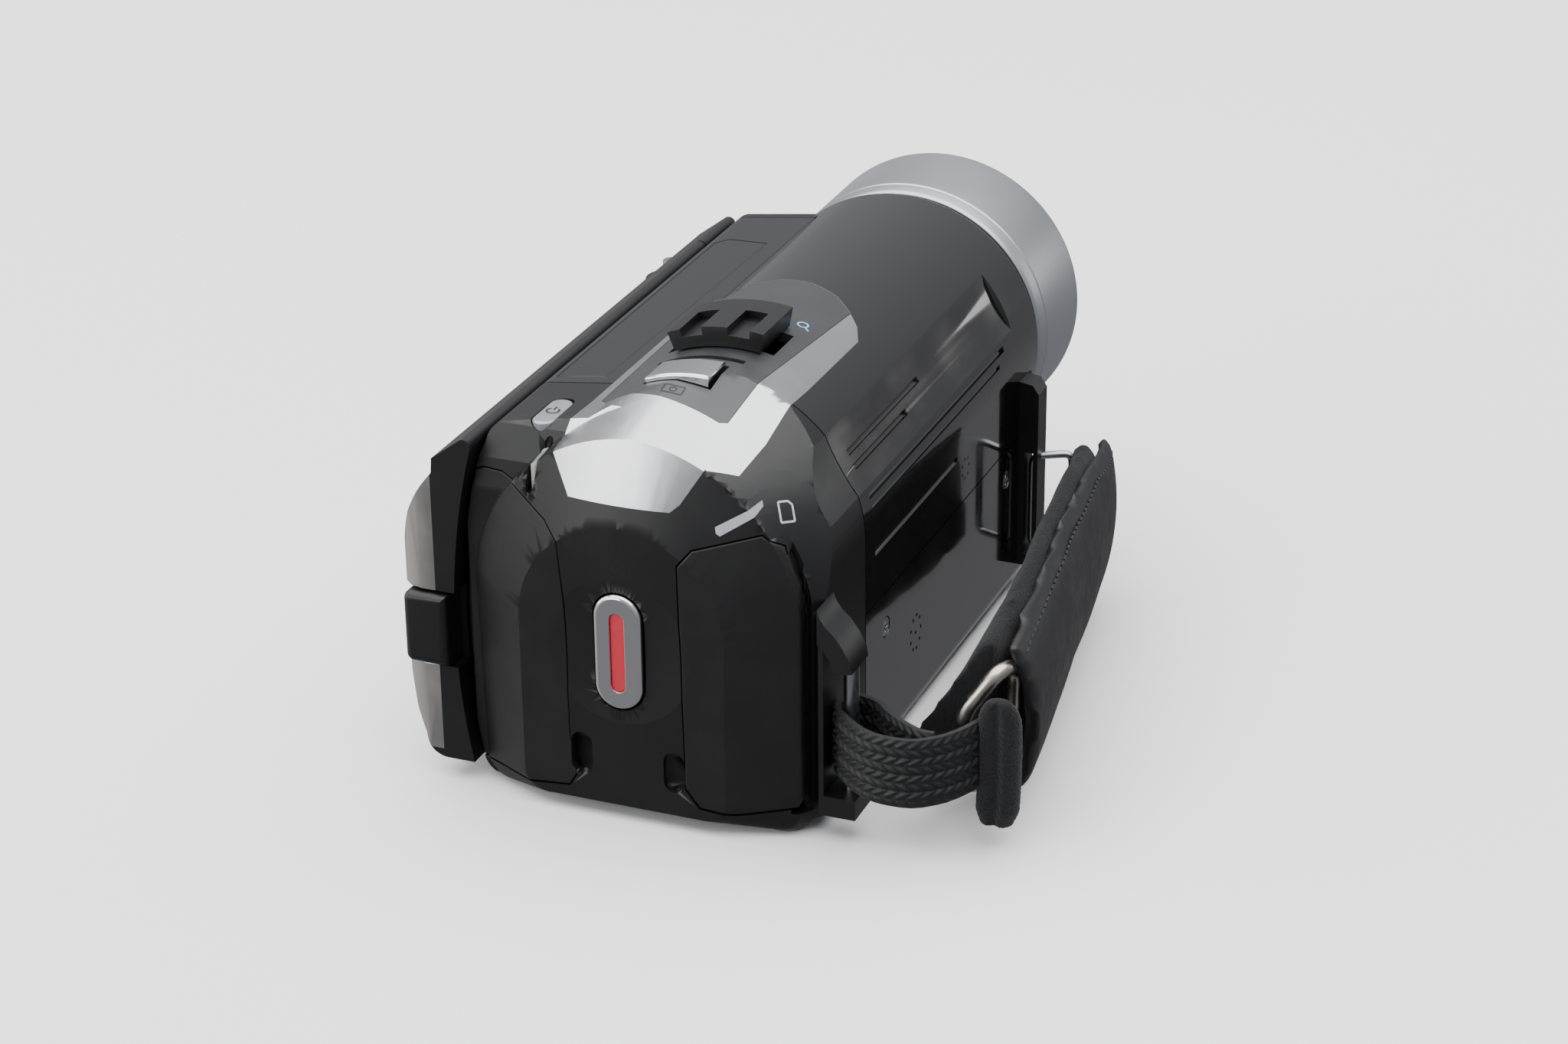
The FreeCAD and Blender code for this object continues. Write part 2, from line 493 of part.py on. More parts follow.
export("front_glass", lens_glass(108.0, 18.7, 7.0))
export("zoom_carrier", carrier(83.0, 6.0, 11.0))
export("zoom_glass", lens_glass(83.0, 10.95, 5.5))
export("focus_lens", lens_glass(62.5, 18.5, 4.5))
export("image_sensor", box(LENS_X - 4.5, LENS_X + 4.5, 50.2, 51.6, LENS_Z - 4.0, LENS_Z + 4.0))
export("main_board", box(-22.2, -21.0, 28.0, 94.0, 8.0, 47.0))
export("battery_pack", softened(box(-12.0, 15.0, 10.0, 48.5, 3.2, 19.6), 1.5, lambda e: e.BoundBox.YLength > 30))
# ---------------------------------------------------------------------------
# Controls
# ---------------------------------------------------------------------------
button = obround(BUTTON_X, BUTTON_Z, BUTTON_W, BUTTON_H, -0.35, 3.2)
button = softened(button, 0.8, lambda e: e.BoundBox.YMax < -0.3)
stripe_hole = obround(BUTTON_X, BUTTON_Z, 2.3, 12.8, -2, 0.6)
button = button.cut(stripe_hole).fuse(rod((BUTTON_X, 3.0, BUTTON_Z), (0, 1, 0), 2.0, 4.0))
export("start_stop_button", button)
export("button_stripe", obround(BUTTON_X, BUTTON_Z, 2.26, 12.76, 0.05, 0.6))

power = flat_obround(POWER_X, POWER_Y, POWER_W, POWER_L, 56.2, 58.9)
power = softened(power, 0.4, lambda e: e.BoundBox.ZMin > 58.8)
export("power_button", power)
lamp = flat_obround(-13.6, 5.5, 1.3, 3.2, 50.0, 66.0)
lamp.rotate(Vector(-13.6, 5.5, 55), Vector(0, 0, 1), -20)
export("charge_lamp", lamp.common(skin(box(-30, 30, 0, 20, 40, 70), 1.0, 1.0)))
export("access_lamp", skin(plate_y(ACCESS, 0, 14), 1.2, 0.4))

for tool in (sector(PHOTO_Y0 - 0.3, PHOTO_Y1 + 0.3, 18.0, 27.0, PHOTO_A0 - 1.2, PHOTO_A1 + 1.2), zoom_slot, slits, trim_pocket.common(
        plate_z(TRIM_TOP, 0, 1))):
    control_panel = control_panel.cut(tool)
export("control_panel", control_panel)
photo = sector(PHOTO_Y0, PHOTO_Y1, 20.0, 25.1, PHOTO_A0, PHOTO_A1)
export("photo_button", softened(photo, 0.5, lambda e: e.BoundBox.ZMin > 60.0))
knob = sector(ZOOM_Y0, ZOOM_Y1, 24.45, 27.6, 80.0, 113.0)
knob = knob.cut(sector(ZOOM_Y0 - 1, ZOOM_Y1 - 4.5, 26.3, 30.0, 84.5, 92.0))
knob = knob.cut(sector(ZOOM_Y0 - 1, ZOOM_Y1 - 4.5, 26.3, 30.0, 101.0, 108.5))
knob = knob.fuse(sector(36.0, 41.0, 21.6, 25.0, 88.0, 105.0))
export("zoom_rocker", knob)

# ---------------------------------------------------------------------------
# Side screen
# ---------------------------------------------------------------------------


def screen_outline(d, y):
    """Section of the side screen; its inner face follows the body."""
    start = (-25.2, 3.6 + d)
    return xz_wire(start, [
        ((-27.35, 28.0), (-23.55, 55.3 - d)),
        ((-23.7, 56.7 - d), (-25.2, 56.8 - d)),
        ((-29.9 + 0.3 * d, 53.3 - d),),
        ((-30.1 + d, 50.9 - d),),
        ((-34.7 + d, 43.5), (-36.3 + d, 33.0)),
        ((-36.2 + d, 18.0), (-33.2 + d, 7.2 + d)),
        ((-31.9 + d, 4.4 + d), (-29.6, 3.6 + d)),
        (start,),
    ], y)


def screen_form(d):
    whole = Part.Face(screen_outline(d, SCREEN_REAR + d)).extrude(Vector(0, SCREEN_AXIS_Y - SCREEN_REAR - d, 0))
    corner = 4.0
    plan = [(-22.0, SCREEN_REAR + d), (-32.6, SCREEN_REAR + d), (-34.6 + d, SCREEN_REAR + 0.5 + d),
            (-36.0 + d, SCREEN_REAR + 1.8 + d), (-36.6 + d, SCREEN_REAR + corner + d), (-36.6 + d, SCREEN_AXIS_Y),
            (-22.0, SCREEN_AXIS_Y)]
    return whole.common(plate_z(plan, -1, 70))


EAR_LOW, EAR_HIGH, KNUCKLE_R, EAR_R = 8.4, 48.0, 4.5, 4.7
notch_y = SCREEN_AXIS_Y - EAR_R - 0.3
ears_clear = box(-60, -20, notch_y, 120, 0, EAR_LOW + 0.25).fuse(box(-60, -20, notch_y, 120, EAR_HIGH - 0.25, 70))
outer_screen = screen_form(0.0)
inner_screen = screen_form(1.0)
metal_zone = box(-60, -30.3, -5, 89.5, 5.0, 50.7)
screen_plate = outer_screen.cut(inner_screen).common(metal_zone).cut(box(-60, -20, -5, 7.5, 19.3, 31.7))
screen_plate = screen_plate.cut(ears_clear)
frame = outer_screen.cut(metal_zone).fuse(screen_form(1.02).common(metal_zone))
frame = frame.cut(box(-60, -20, -5, 6.6, 19.3, 31.7)).cut(ears_clear)
DISPLAY = (15.0, 76.0, 11.0, 47.0)
frame = frame.cut(box(-29.5, -20, DISPLAY[0] - 0.05, DISPLAY[1] + 0.05, DISPLAY[2] - 0.05, DISPLAY[3] + 0.05))
knuckle = rod((SCREEN_AXIS_X, SCREEN_AXIS_Y, EAR_LOW + 0.25), (0, 0, 1), KNUCKLE_R, EAR_HIGH - EAR_LOW - 0.5)
HINGE_PIN_R = 1.5
pin_bore = rod((SCREEN_AXIS_X, SCREEN_AXIS_Y, 5.0), (0, 0, 1), HINGE_PIN_R + 0.05, 46.0)
frame = frame.fuse(knuckle).cut(pin_bore)
KEYS = {"screen_joystick": (9.2, 38.0, 2.4), "record_key": (9.2, 16.5, 1.7)}
key_solids = {}
for name, (ky, kz, kr) in KEYS.items():
    frame = frame.cut(rod((-30.4, ky, kz), (1, 0, 0), kr + 0.15, 12))
    key_solids[name] = softened(rod((-29.6, ky, kz), (1, 0, 0), kr, 1.9), 0.3, lambda e: e.BoundBox.XMin > -27.8)
tab = box(-35.4, -28.3, 1.2, 7.0, 19.7, 31.3)
frame = frame.fuse(softened(tab, 1.2, lambda e: e.BoundBox.YMax < 1.3 or e.BoundBox.XMax < -35.3))
export("screen_frame", frame)
export("screen_plate", screen_plate)
export("display_panel", box(-29.45, -28.0, *DISPLAY[:2], *DISPLAY[2:]))
for name, shape in key_solids.items():
    export(name, shape)

block_form = Part.Face(screen_outline(0.0, SCREEN_AXIS_Y - 8.0)).extrude(Vector(0, 17.0, 0))
BLOCK_PLAN = [(-22.0, 0.3), (-36.8, 0.3), (-36.8, 3.2), (-35.6, 5.2), (-33.0, 6.9), (-29.5, 7.6), (-22.0, 7.8)]
block = block_form.common(plate_z([(x, SCREEN_AXIS_Y + y) for x, y in BLOCK_PLAN], -1, 70))
swing = rod((SCREEN_AXIS_X, SCREEN_AXIS_Y, EAR_LOW), (0, 0, 1), KNUCKLE_R + 0.45, EAR_HIGH - EAR_LOW)
swing = swing.fuse(box(-60, SCREEN_AXIS_X, 0, SCREEN_AXIS_Y + 5.0, EAR_LOW, EAR_HIGH))
block = block.cut(swing)
ear_plan = rod((SCREEN_AXIS_X, SCREEN_AXIS_Y, -1), (0, 0, 1), EAR_R, 80).fuse(
    box(SCREEN_AXIS_X + 2.0, -20, SCREEN_AXIS_Y - EAR_R, SCREEN_AXIS_Y + 4.0, -1, 79)).fuse(
    box(SCREEN_AXIS_X - EAR_R, -20, SCREEN_AXIS_Y, SCREEN_AXIS_Y + 4.0, -1, 79))
for low, high in ((0.0, EAR_LOW), (EAR_HIGH, 70.0)):
    block = block.fuse(block_form.common(ear_plan).common(box(-60, 0, 0, 200, low, high)))
body_clear = long_form(-0.02, 60.0, 110.0)
export("hinge_block", block.cut(pin_bore).cut(body_clear))
export("hinge_pin", rod((SCREEN_AXIS_X, SCREEN_AXIS_Y, 5.0), (0, 0, 1), HINGE_PIN_R, 46.0))

# ---------------------------------------------------------------------------
# Hand strap
# ---------------------------------------------------------------------------
LUG = [(29.6, 38.8), (30.4, 36.6), (31.4, 35.3), (32.7, 34.1), (33.9, 32.4), (35.0, 30.4), (35.3, 28.6),
       (32.3, 28.0), (31.9, 30.0), (30.9, 31.6), (29.6, 32.8)]
GROOVE = [(x + 0.9, z + 1.9) for x, z in LUG[:7]] + [(x + 0.9, z + 0.9) for x, z in LUG[6::-1]]
rear_lug = plate_y(LUG, 4.4, 11.2).cut(plate_y(GROOVE, 7.2, 8.4))
rear_lug = rear_lug.fuse(box(29.6, 35.6, 4.8, 11.6, 4.4, 7.6)).fuse(box(29.6, 30.7, 4.8, 11.2, 4.4, 36.0))
PIN_X, PIN_Y, PIN_LENGTH = 33.6, 8.8, 25.2
lug_bore = rod((PIN_X, PIN_Y, 4.9), (0, 0, 1), 1.15, PIN_LENGTH)
export("rear_lug", rear_lug.cut(lug_bore).cut(long_form(0.0, 0, 30)))
export("lug_pin", lug_bore)

front_lug = plate_y([(29.6, 37.6), (32.2, 37.2), (33.3, 35.6), (33.3, 4.4), (29.6, 4.4)], 96.4, 100.8)
front_lug = front_lug.cut(box(31.0, 32.5, 90, 110, 6.4, 25.0)).cut(long_form(0.0, 80, 101))


def wire_loop(points, radius):
    """A closed loop of straight wire runs with ball corners."""
    loop = None
    for i, p in enumerate(points):
        q = points[(i + 1) % len(points)]
        run = Vector(*q) - Vector(*p)
        piece = Part.makeCylinder(radius, run.Length, Vector(*p), run).fuse(Part.makeSphere(radius, Vector(*p)))
        loop = piece if loop is None else loop.fuse(piece)
    return loop


FRONT_RING = [(31.75, 98.6, 7.5), (31.75, 98.6, 23.6), (38.0, 100.6, 24.2), (38.0, 100.6, 7.5)]
export("front_ring", wire_loop(FRONT_RING, 0.65))
export("front_lug", front_lug.cut(wire_loop(FRONT_RING, 0.7)))
STRAP_RING = [(49.6, 12.8, 8.6), (49.3, 13.0, 20.8), (54.0, 15.0, 27.6), (55.0, 20.4, 26.0), (54.4, 20.4, 8.6)]
export("strap_ring", wire_loop(STRAP_RING, 1.2))


def band(points, thick):
    """Polygon in plan that follows a centre line at an even thickness."""
    left, right = [], []
    for i, (x, y) in enumerate(points):
        ax, ay = points[max(i - 1, 0)]
        bx, by = points[min(i + 1, len(points) - 1)]
        length = math.hypot(bx - ax, by - ay)
        nx, ny = -(by - ay) / length * thick / 2, (bx - ax) / length * thick / 2
        left.append((x + nx, y + ny))
        right.append((x - nx, y - ny))
    return left + right[::-1]


WEB_LOW, WEB_HIGH, WEB_THICK = 10.0, 21.2, 1.3
OUTER_WEB = [(33.3, 6.1), (35.2, 4.4), (38.0, 2.4), (41.2, 1.5), (45.4, 1.8), (48.6, 4.1), (50.6, 7.2), (51.6, 9.4)]
INNER_WEB = [(33.3, 12.9), (36.6, 11.6), (39.2, 9.2), (42.2, 7.0), (45.2, 5.4), (47.6, 5.6)]
webbing = plate_z(band(OUTER_WEB, WEB_THICK), WEB_LOW, WEB_HIGH)
webbing = webbing.fuse(plate_z(band(INNER_WEB, WEB_THICK), WEB_LOW, WEB_HIGH))
fold = rod((PIN_X, 9.4, WEB_LOW), (0, 0, 1), 3.4, WEB_HIGH - WEB_LOW).cut(rod((PIN_X, 9.4, 0), (0, 0, 1), 2.1, 30))
fold = fold.cut(box(PIN_X, 60, 0, 20, 0, 40)).cut(box(20, 30.8, 0, 20, 0, 40))
ring_clear = wire_loop(STRAP_RING, 1.3)
export("webbing", webbing.fuse(fold).cut(ring_clear))
TAIL = [(51.5, 11.2), (52.8, 9.4), (55.2, 8.8), (57.7, 10.2), (58.4, 12.6), (56.4, 15.0), (53.2, 14.4)]
export("strap_tail", plate_z(TAIL, 3.8, 24.8).cut(ring_clear).cut(plate_z(band(OUTER_WEB, WEB_THICK), 9.9, 21.3)))

PAD_LINE = [(59.3, 18.0), (58.4, 25.0), (57.3, 33.0), (56.1, 41.0), (54.9, 49.0), (53.6, 57.0), (52.6, 65.0),
            (51.5, 73.0), (50.2, 81.0), (48.9, 89.0), (47.2, 96.0), (45.2, 101.5)]
PAD_TOP = [(10, 30.0), (24, 31.6), (50, 33.2), (80, 32.4), (106, 27.6)]
PAD_FOOT = [(10, 7.6), (30, 3.8), (84, 4.2), (106, 8.0)]
PAD_MIDDLE = 18.0         # height at which the pad bulges most
LEATHER_THICK = 2.9


def height(table, y):
    for (y0, z0), (y1, z1) in zip(table, table[1:]):
        if y <= y1:
            return z0 + (z1 - z0) * (y - y0) / (y1 - y0)
    return table[-1][1]


def pad_face(x, y, z, depth):
    """x of a pad face that lies at some depth under the leather."""
    t = (z - PAD_MIDDLE) / 14.0
    curl = (4.4 - 2.2 * min(1.0, (y - 18.0) / 30.0)) * t ** 2 if t > 0 else 3.2 * t ** 2
    return x - curl - depth


def pad_layer(line, near, far, belly, flap, inset):
    """One layer of the pad. It bellies inwards, and its rear corner hangs away."""
    sections = []
    for x, y in line:
        top, foot = height(PAD_TOP, y) - inset, height(PAD_FOOT, y) + inset
        lean = flap * max(0.0, (34.0 - y) / 16.0)
        outer, inner = [], []
        for i in range(7):
            z = foot + (top - foot) * i / 6.0
            hang = lean * min(1.0, (top - z) / (top - 14.0))
            outer.append(Vector(pad_face(x, y, z, near) - hang, y, z))
            swell = belly * (1.0 - ((z - 17.0) / 15.0) ** 2)
            inner.append(Vector(pad_face(x, y, z, far + swell) - hang, y, z))
        ends = outer + inner[::-1]
        sections.append(Part.makePolygon(ends + ends[:1]))
    return solid_between(sections)


export("hand_pad", pad_layer(PAD_LINE, 0.0, LEATHER_THICK, 0.0, 0.0, 0.0).cut(ring_clear))
export("pad_lining", pad_layer(PAD_LINE[:-1], LEATHER_THICK + 0.4, LEATHER_THICK + 2.6, 3.4, 11.0, 0.6).cut(ring_clear))
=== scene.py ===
import json
import math

import bpy
from mathutils import Matrix, Vector
from mathutils.bvhtree import BVHTree


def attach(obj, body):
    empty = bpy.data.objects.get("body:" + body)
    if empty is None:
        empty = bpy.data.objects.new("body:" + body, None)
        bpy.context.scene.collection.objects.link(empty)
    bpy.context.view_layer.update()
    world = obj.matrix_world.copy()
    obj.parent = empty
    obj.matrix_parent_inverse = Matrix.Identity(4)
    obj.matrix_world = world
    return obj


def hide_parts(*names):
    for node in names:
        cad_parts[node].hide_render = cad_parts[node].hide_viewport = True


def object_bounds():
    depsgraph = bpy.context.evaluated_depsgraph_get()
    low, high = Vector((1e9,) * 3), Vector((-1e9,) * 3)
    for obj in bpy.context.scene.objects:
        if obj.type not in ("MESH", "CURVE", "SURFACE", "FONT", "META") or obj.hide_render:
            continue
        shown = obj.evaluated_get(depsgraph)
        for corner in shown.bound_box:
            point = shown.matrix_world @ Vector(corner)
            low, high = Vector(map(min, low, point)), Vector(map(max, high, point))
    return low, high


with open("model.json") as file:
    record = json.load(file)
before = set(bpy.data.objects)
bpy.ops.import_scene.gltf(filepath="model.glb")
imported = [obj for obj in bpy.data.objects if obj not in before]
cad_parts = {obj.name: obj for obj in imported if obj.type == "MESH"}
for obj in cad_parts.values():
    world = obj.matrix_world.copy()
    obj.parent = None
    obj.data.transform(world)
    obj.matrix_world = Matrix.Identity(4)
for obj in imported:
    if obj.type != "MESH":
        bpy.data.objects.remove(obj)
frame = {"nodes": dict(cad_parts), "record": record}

CAD_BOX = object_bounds()

bl_info = {
    "name": "Compact camcorder",
    "version": (1, 0, 0),
    "blender": (4, 5, 0),
    "location": "3D View > Sidebar > Camcorder",
    "description": "Finishes the shells, controls, lens, side screen and hand strap of a camcorder",
    "category": "Object",
}

MM = 0.001
SOCKET_Y = 60.0            # tripod socket, ahead of the rear face, in mm
LENS_X, LENS_Z = 5.7, 39.8  # optical axis, in mm
BARREL_R = 24.2
RECORD = frame["record"]
BODY_OF = {part: body for body, parts in RECORD["behaviour"]["bodies"].items() for part in parts}
SLOT_OF = {part["node"]: part["material_slot"] for part in RECORD["subparts"]}


WELD = 3e-6                # corners of a frame node closer than this are one, in m
SKIN_GAP = 3e-5            # a point this near the barrel's cylinder lies on it, in m
PAD_VOXEL = 1.2            # mesh of the padded pieces before they are filled, in mm
PAD_PRESSURE = 3.0
PAD_FRAMES = 20
PAD_CAP = 0.4              # furthest that filling moves a point, in mm


# ---------------------------------------------------------------------------
# Small helpers
# ---------------------------------------------------------------------------
def linear(code):
    """sRGB hex colour to linear RGBA."""
    values = [int(code[i:i + 2], 16) / 255.0 for i in (1, 3, 5)]
    curve = [v / 12.92 if v <= 0.04045 else ((v + 0.055) / 1.055) ** 2.4 for v in values]
    return (*curve, 1.0)


def at(x, y, z):
    """A point in millimetres from the rear face, as metres in the frame."""
    return Vector((x, y - SOCKET_Y, z)) * MM


def select_only(*pieces):
    """Selects the pieces, or nothing at all."""
    for other in list(bpy.context.selected_objects):
        other.select_set(False)
    for piece in pieces:
        piece.select_set(True)
    bpy.context.view_layer.objects.active = pieces[0] if pieces else None


def modify(piece, kind, **settings):
    """Adds a modifier, sets it and applies it."""
    select_only(piece)
    step = piece.modifiers.new(kind.lower(), kind)
    for key, value in settings.items():
        setattr(step, key, value)
    bpy.ops.object.modifier_apply(modifier=step.name)


def edit(piece, *steps):
    """Runs edit-mode operators on the whole piece."""
    select_only(piece)
    bpy.ops.object.mode_set(mode="EDIT")
    for operator, settings in steps:
        bpy.ops.mesh.select_all(action="SELECT")
        operator(**settings)
    bpy.ops.object.mode_set(mode="OBJECT")


def smooth(piece, angle):
    """Smooth shading, with edges sharper than the angle left hard."""
    select_only(piece)
    bpy.ops.object.shade_smooth_by_angle(angle=math.radians(angle))


def settle(piece, name, finish, body, slot, *nodes):
    """Names a finished piece, gives it its material and ties it to its body."""
    piece.name = name
    piece.data.name = name
    piece.data.materials.clear()
    piece.data.materials.append(finish)
    if nodes:
        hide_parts(*nodes)
    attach(piece, body)
    return piece


def refine(node, finish, edge=0.0, angle=28.0, flat=0.4, true_round=False):
    """A joined-up copy of a frame node with softened edges and even shading."""
    piece = bpy.data.objects.new(node + "_finished", frame["nodes"][node].data.copy())
    bpy.context.scene.collection.objects.link(piece)
    edit(piece, (bpy.ops.mesh.remove_doubles, {"threshold": WELD}))
    if flat:
        edit(piece, (bpy.ops.mesh.dissolve_limited, {"angle_limit": math.radians(flat)}))
    if edge:
        modify(piece, "BEVEL", width=edge * MM, segments=2, limit_method="ANGLE",
               angle_limit=math.radians(32), miter_outer="MITER_ARC")
    smooth(piece, angle)
    modify(piece, "WEIGHTED_NORMAL", keep_sharp=True, weight=80)
    if true_round:
        round_off(piece)
    return settle(piece, node + "_finished", finish, BODY_OF[node], SLOT_OF[node], node)


def round_off(piece):
    """Exact normals on the faces that lie on the barrel's cylinder."""
    mesh = piece.data
    axis = at(LENS_X, 0, LENS_Z)
    radial = []
    on_skin = []
    for vertex in mesh.vertices:
        out = Vector((vertex.co.x - axis.x, 0.0, vertex.co.z - axis.z))
        on_skin.append(abs(out.length - BARREL_R * MM) < SKIN_GAP)
        radial.append(out.normalized())
    normals = [corner.vector.copy() for corner in mesh.corner_normals]
    for face in mesh.polygons:
        if all(on_skin[v] for v in face.vertices) and abs(face.normal.y) < 0.1:
            for corner, vertex in zip(face.loop_indices, face.vertices):
                normals[corner] = radial[vertex]
    mesh.normals_split_custom_set(normals)


def loft(name, rings, wrap=True, caps=True):
    """A grid primitive whose rows are laid on the given rings of points."""
    rows = [list(ring) + ([ring[0]] if wrap else []) for ring in rings]
    wide, tall = len(rows[0]), len(rows)
    select_only()
    bpy.ops.mesh.primitive_grid_add(x_subdivisions=wide - 1, y_subdivisions=tall - 1, size=1.0)
    piece = bpy.context.active_object
    if len(piece.data.vertices) != wide * tall:
        raise RuntimeError("the grid has %d points, not %d" % (len(piece.data.vertices), wide * tall))
    flat = [c for row in rows for point in row for c in point]
    piece.data.vertices.foreach_set("co", flat)
    piece.data.update()
    piece.name = name
    if wrap:
        edit(piece, (bpy.ops.mesh.remove_doubles, {"threshold": 1e-7}))
    if caps:
        select_only(piece)
        bpy.ops.object.mode_set(mode="EDIT")
        bpy.ops.mesh.select_all(action="DESELECT")
        bpy.ops.mesh.select_mode(type="EDGE")
        bpy.ops.mesh.select_non_manifold(
            extend=False, use_wire=False, use_multi_face=False, use_non_contiguous=False, use_verts=False)
        bpy.ops.mesh.fill_holes(sides=0)
        bpy.ops.object.mode_set(mode="OBJECT")
    edit(piece, (bpy.ops.mesh.normals_make_consistent, {"inside": False}))
    return piece


def lathe(name, profile, steps):
    """A profile of (y, radius) in mm, spun round the optical axis."""
    select_only()
    bpy.ops.mesh.primitive_circle_add(vertices=len(profile), radius=0.01, fill_type="NOTHING")
    piece = bpy.context.active_object
    for vertex, (y, radius) in zip(piece.data.vertices, profile):
        vertex.co = at(LENS_X + radius, y, LENS_Z)
    turn = {"steps": steps, "angle": 2 * math.pi, "center": at(LENS_X, 0, LENS_Z), "axis": (0, 1, 0)}
    edit(piece, (bpy.ops.mesh.spin, turn),
         (bpy.ops.mesh.remove_doubles, {"threshold": 1e-7}),
         (bpy.ops.mesh.normals_make_consistent, {"inside": False}))
    piece.name = name
    return piece


def softened(points, sizes, steps=5):
    """A line of points with its corners turned to arcs; a corner of size 0 stays."""
    line = []
    for i, (point, size) in enumerate(zip(points, sizes)):
        here = Vector(point)
        before, after = Vector(points[i - 1]), Vector(points[(i + 1) % len(points)])
        if size <= 0:
            line.append(here)
            continue
        a = here + (before - here).normalized() * min(size, (before - here).length * 0.48)
        b = here + (after - here).normalized() * min(size, (after - here).length * 0.48)
        for k in range(steps + 1):
            t = k / steps
            line.append(a * (1 - t) ** 2 + here * 2 * t * (1 - t) + b * t * t)
    return line


def flowing(points, gap):
    """Points an even gap apart on a smooth line through the given points."""
    ends = [points[0] * 2 - points[1]] + list(points) + [points[-1] * 2 - points[-2]]
    fine = []
    for p0, p1, p2, p3 in zip(ends, ends[1:], ends[2:], ends[3:]):
        for k in range(24):
            t = k / 24
            bend = (p0 * 2 - p1 * 5 + p2 * 4 - p3) * t ** 2 + (p1 * 3 - p0 - p2 * 3 + p3) * t ** 3
            fine.append(0.5 * (p1 * 2 + (p2 - p0) * t + bend))
    fine.append(points[-1])
    reach = [0.0]
    for a, b in zip(fine, fine[1:]):
        reach.append(reach[-1] + (b - a).length)
    count = max(2, round(reach[-1] / gap))
    line, k = [], 0
    for i in range(count + 1):
        want = reach[-1] * i / count
        while k < len(reach) - 2 and reach[k + 1] < want:
            k += 1
        span = reach[k + 1] - reach[k]
        line.append(fine[k].lerp(fine[k + 1], (want - reach[k]) / span if span > 0 else 0.0))
    return line


def tube(name, points, radius, sides=16, loop=True):
    """A round wire along a line of points."""
    rings = []
    count = len(points)
    turns = [2 * math.pi * k / sides for k in range(sides)]
    up = None
    for i, here in enumerate(points):
        before = points[i - 1] if loop or i else points[0]
        after = points[(i + 1) % count] if loop or i < count - 1 else points[-1]
        along = (after - before).normalized()
        if up is None:
            up = along.orthogonal().normalized()
        up = (up - along * up.dot(along)).normalized()
        side = along.cross(up)
        rings.append([here + (up * math.cos(a) + side * math.sin(a)) * radius for a in turns])
    if loop:
        first, last = rings[0], rings[-1]
        shift = min(range(sides), key=lambda k: (first[k] - last[0]).length)
        rings.append(first[shift:] + first[:shift])
    piece = loft(name, rings, caps=not loop)
    if loop:
        edit(piece, (bpy.ops.mesh.remove_doubles, {"threshold": 1e-6}),
             (bpy.ops.mesh.normals_make_consistent, {"inside": False}))
    return piece


def puffed(piece):
    """Fills a padded piece by cloth simulation and keeps each point near its start."""
    modify(piece, "REMESH", mode="VOXEL", voxel_size=PAD_VOXEL * MM, adaptivity=0.0)
    start = [v.co.copy() for v in piece.data.vertices]
    select_only(piece)
    step = piece.modifiers.new("fill", "CLOTH")
    cloth = step.settings
    cloth.quality = 6
    cloth.mass = 0.15
    cloth.tension_stiffness = 12
    cloth.compression_stiffness = 12
    cloth.bending_stiffness = 1.5
    cloth.use_pressure = True
    cloth.uniform_pressure_force = PAD_PRESSURE
    cloth.effector_weights.gravity = 0.0
    step.point_cache.frame_start = 1
    step.point_cache.frame_end = PAD_FRAMES
    for number in range(1, PAD_FRAMES + 1):
        bpy.context.scene.frame_set(number)
    bpy.ops.object.modifier_apply(modifier=step.name)
    bpy.context.scene.frame_set(1)
    for vertex, home in zip(piece.data.vertices, start):
        move = vertex.co - home
        if move.length > PAD_CAP * MM:
            vertex.co = home + move.normalized() * PAD_CAP * MM
    piece.data.update()
    modify(piece, "SMOOTH", factor=0.5, iterations=2)
    modify(piece, "SUBSURF", levels=1, render_levels=1)


# ---------------------------------------------------------------------------
# Materials
# ---------------------------------------------------------------------------
def node(tree, kind, settings=None, links=None):
    """Adds a node, sets its values and links its inputs."""
    made = tree.nodes.new(kind)
    for key, value in (settings or {}).items():
        if isinstance(key, int) or key in made.inputs:
            made.inputs[key].default_value = value
        else:
            setattr(made, key, value)
    for key, source in (links or {}).items():
        tree.links.new(source, made.inputs[key])
    return made


def material(name, settings):
    """A material with its shader. Returns it, its tree and the shader."""
    made = bpy.data.materials.new(name)
    made.use_nodes = True
    tree = made.node_tree
    tree.nodes.clear()
    shader = node(tree, "ShaderNodeBsdfPrincipled", settings)
    node(tree, "ShaderNodeOutputMaterial", None, {"Surface": shader.outputs["BSDF"]})
    return made, tree, shader


def mottled(tree, shader, socket, low, high, size_mm, detail=3.0):
    """Varies a value or colour between two limits in soft patches of a real size."""
    place = node(tree, "ShaderNodeTexCoord")
    patches = node(tree, "ShaderNodeTexNoise", {"Scale": 1.0 / (size_mm * MM), "Detail": detail},
                   {"Vector": place.outputs["Object"]})
    if isinstance(low, tuple):
        spread = node(tree, "ShaderNodeMix", {"data_type": "RGBA", 6: low, 7: high},
                      {0: patches.outputs["Fac"]})
        tree.links.new(spread.outputs[2], shader.inputs[socket])
    else:
        limits = {"From Min": 0.3, "From Max": 0.7, "To Min": low, "To Max": high}
        spread = node(tree, "ShaderNodeMapRange", limits, {"Value": patches.outputs["Fac"]})
        tree.links.new(spread.outputs["Result"], shader.inputs[socket])


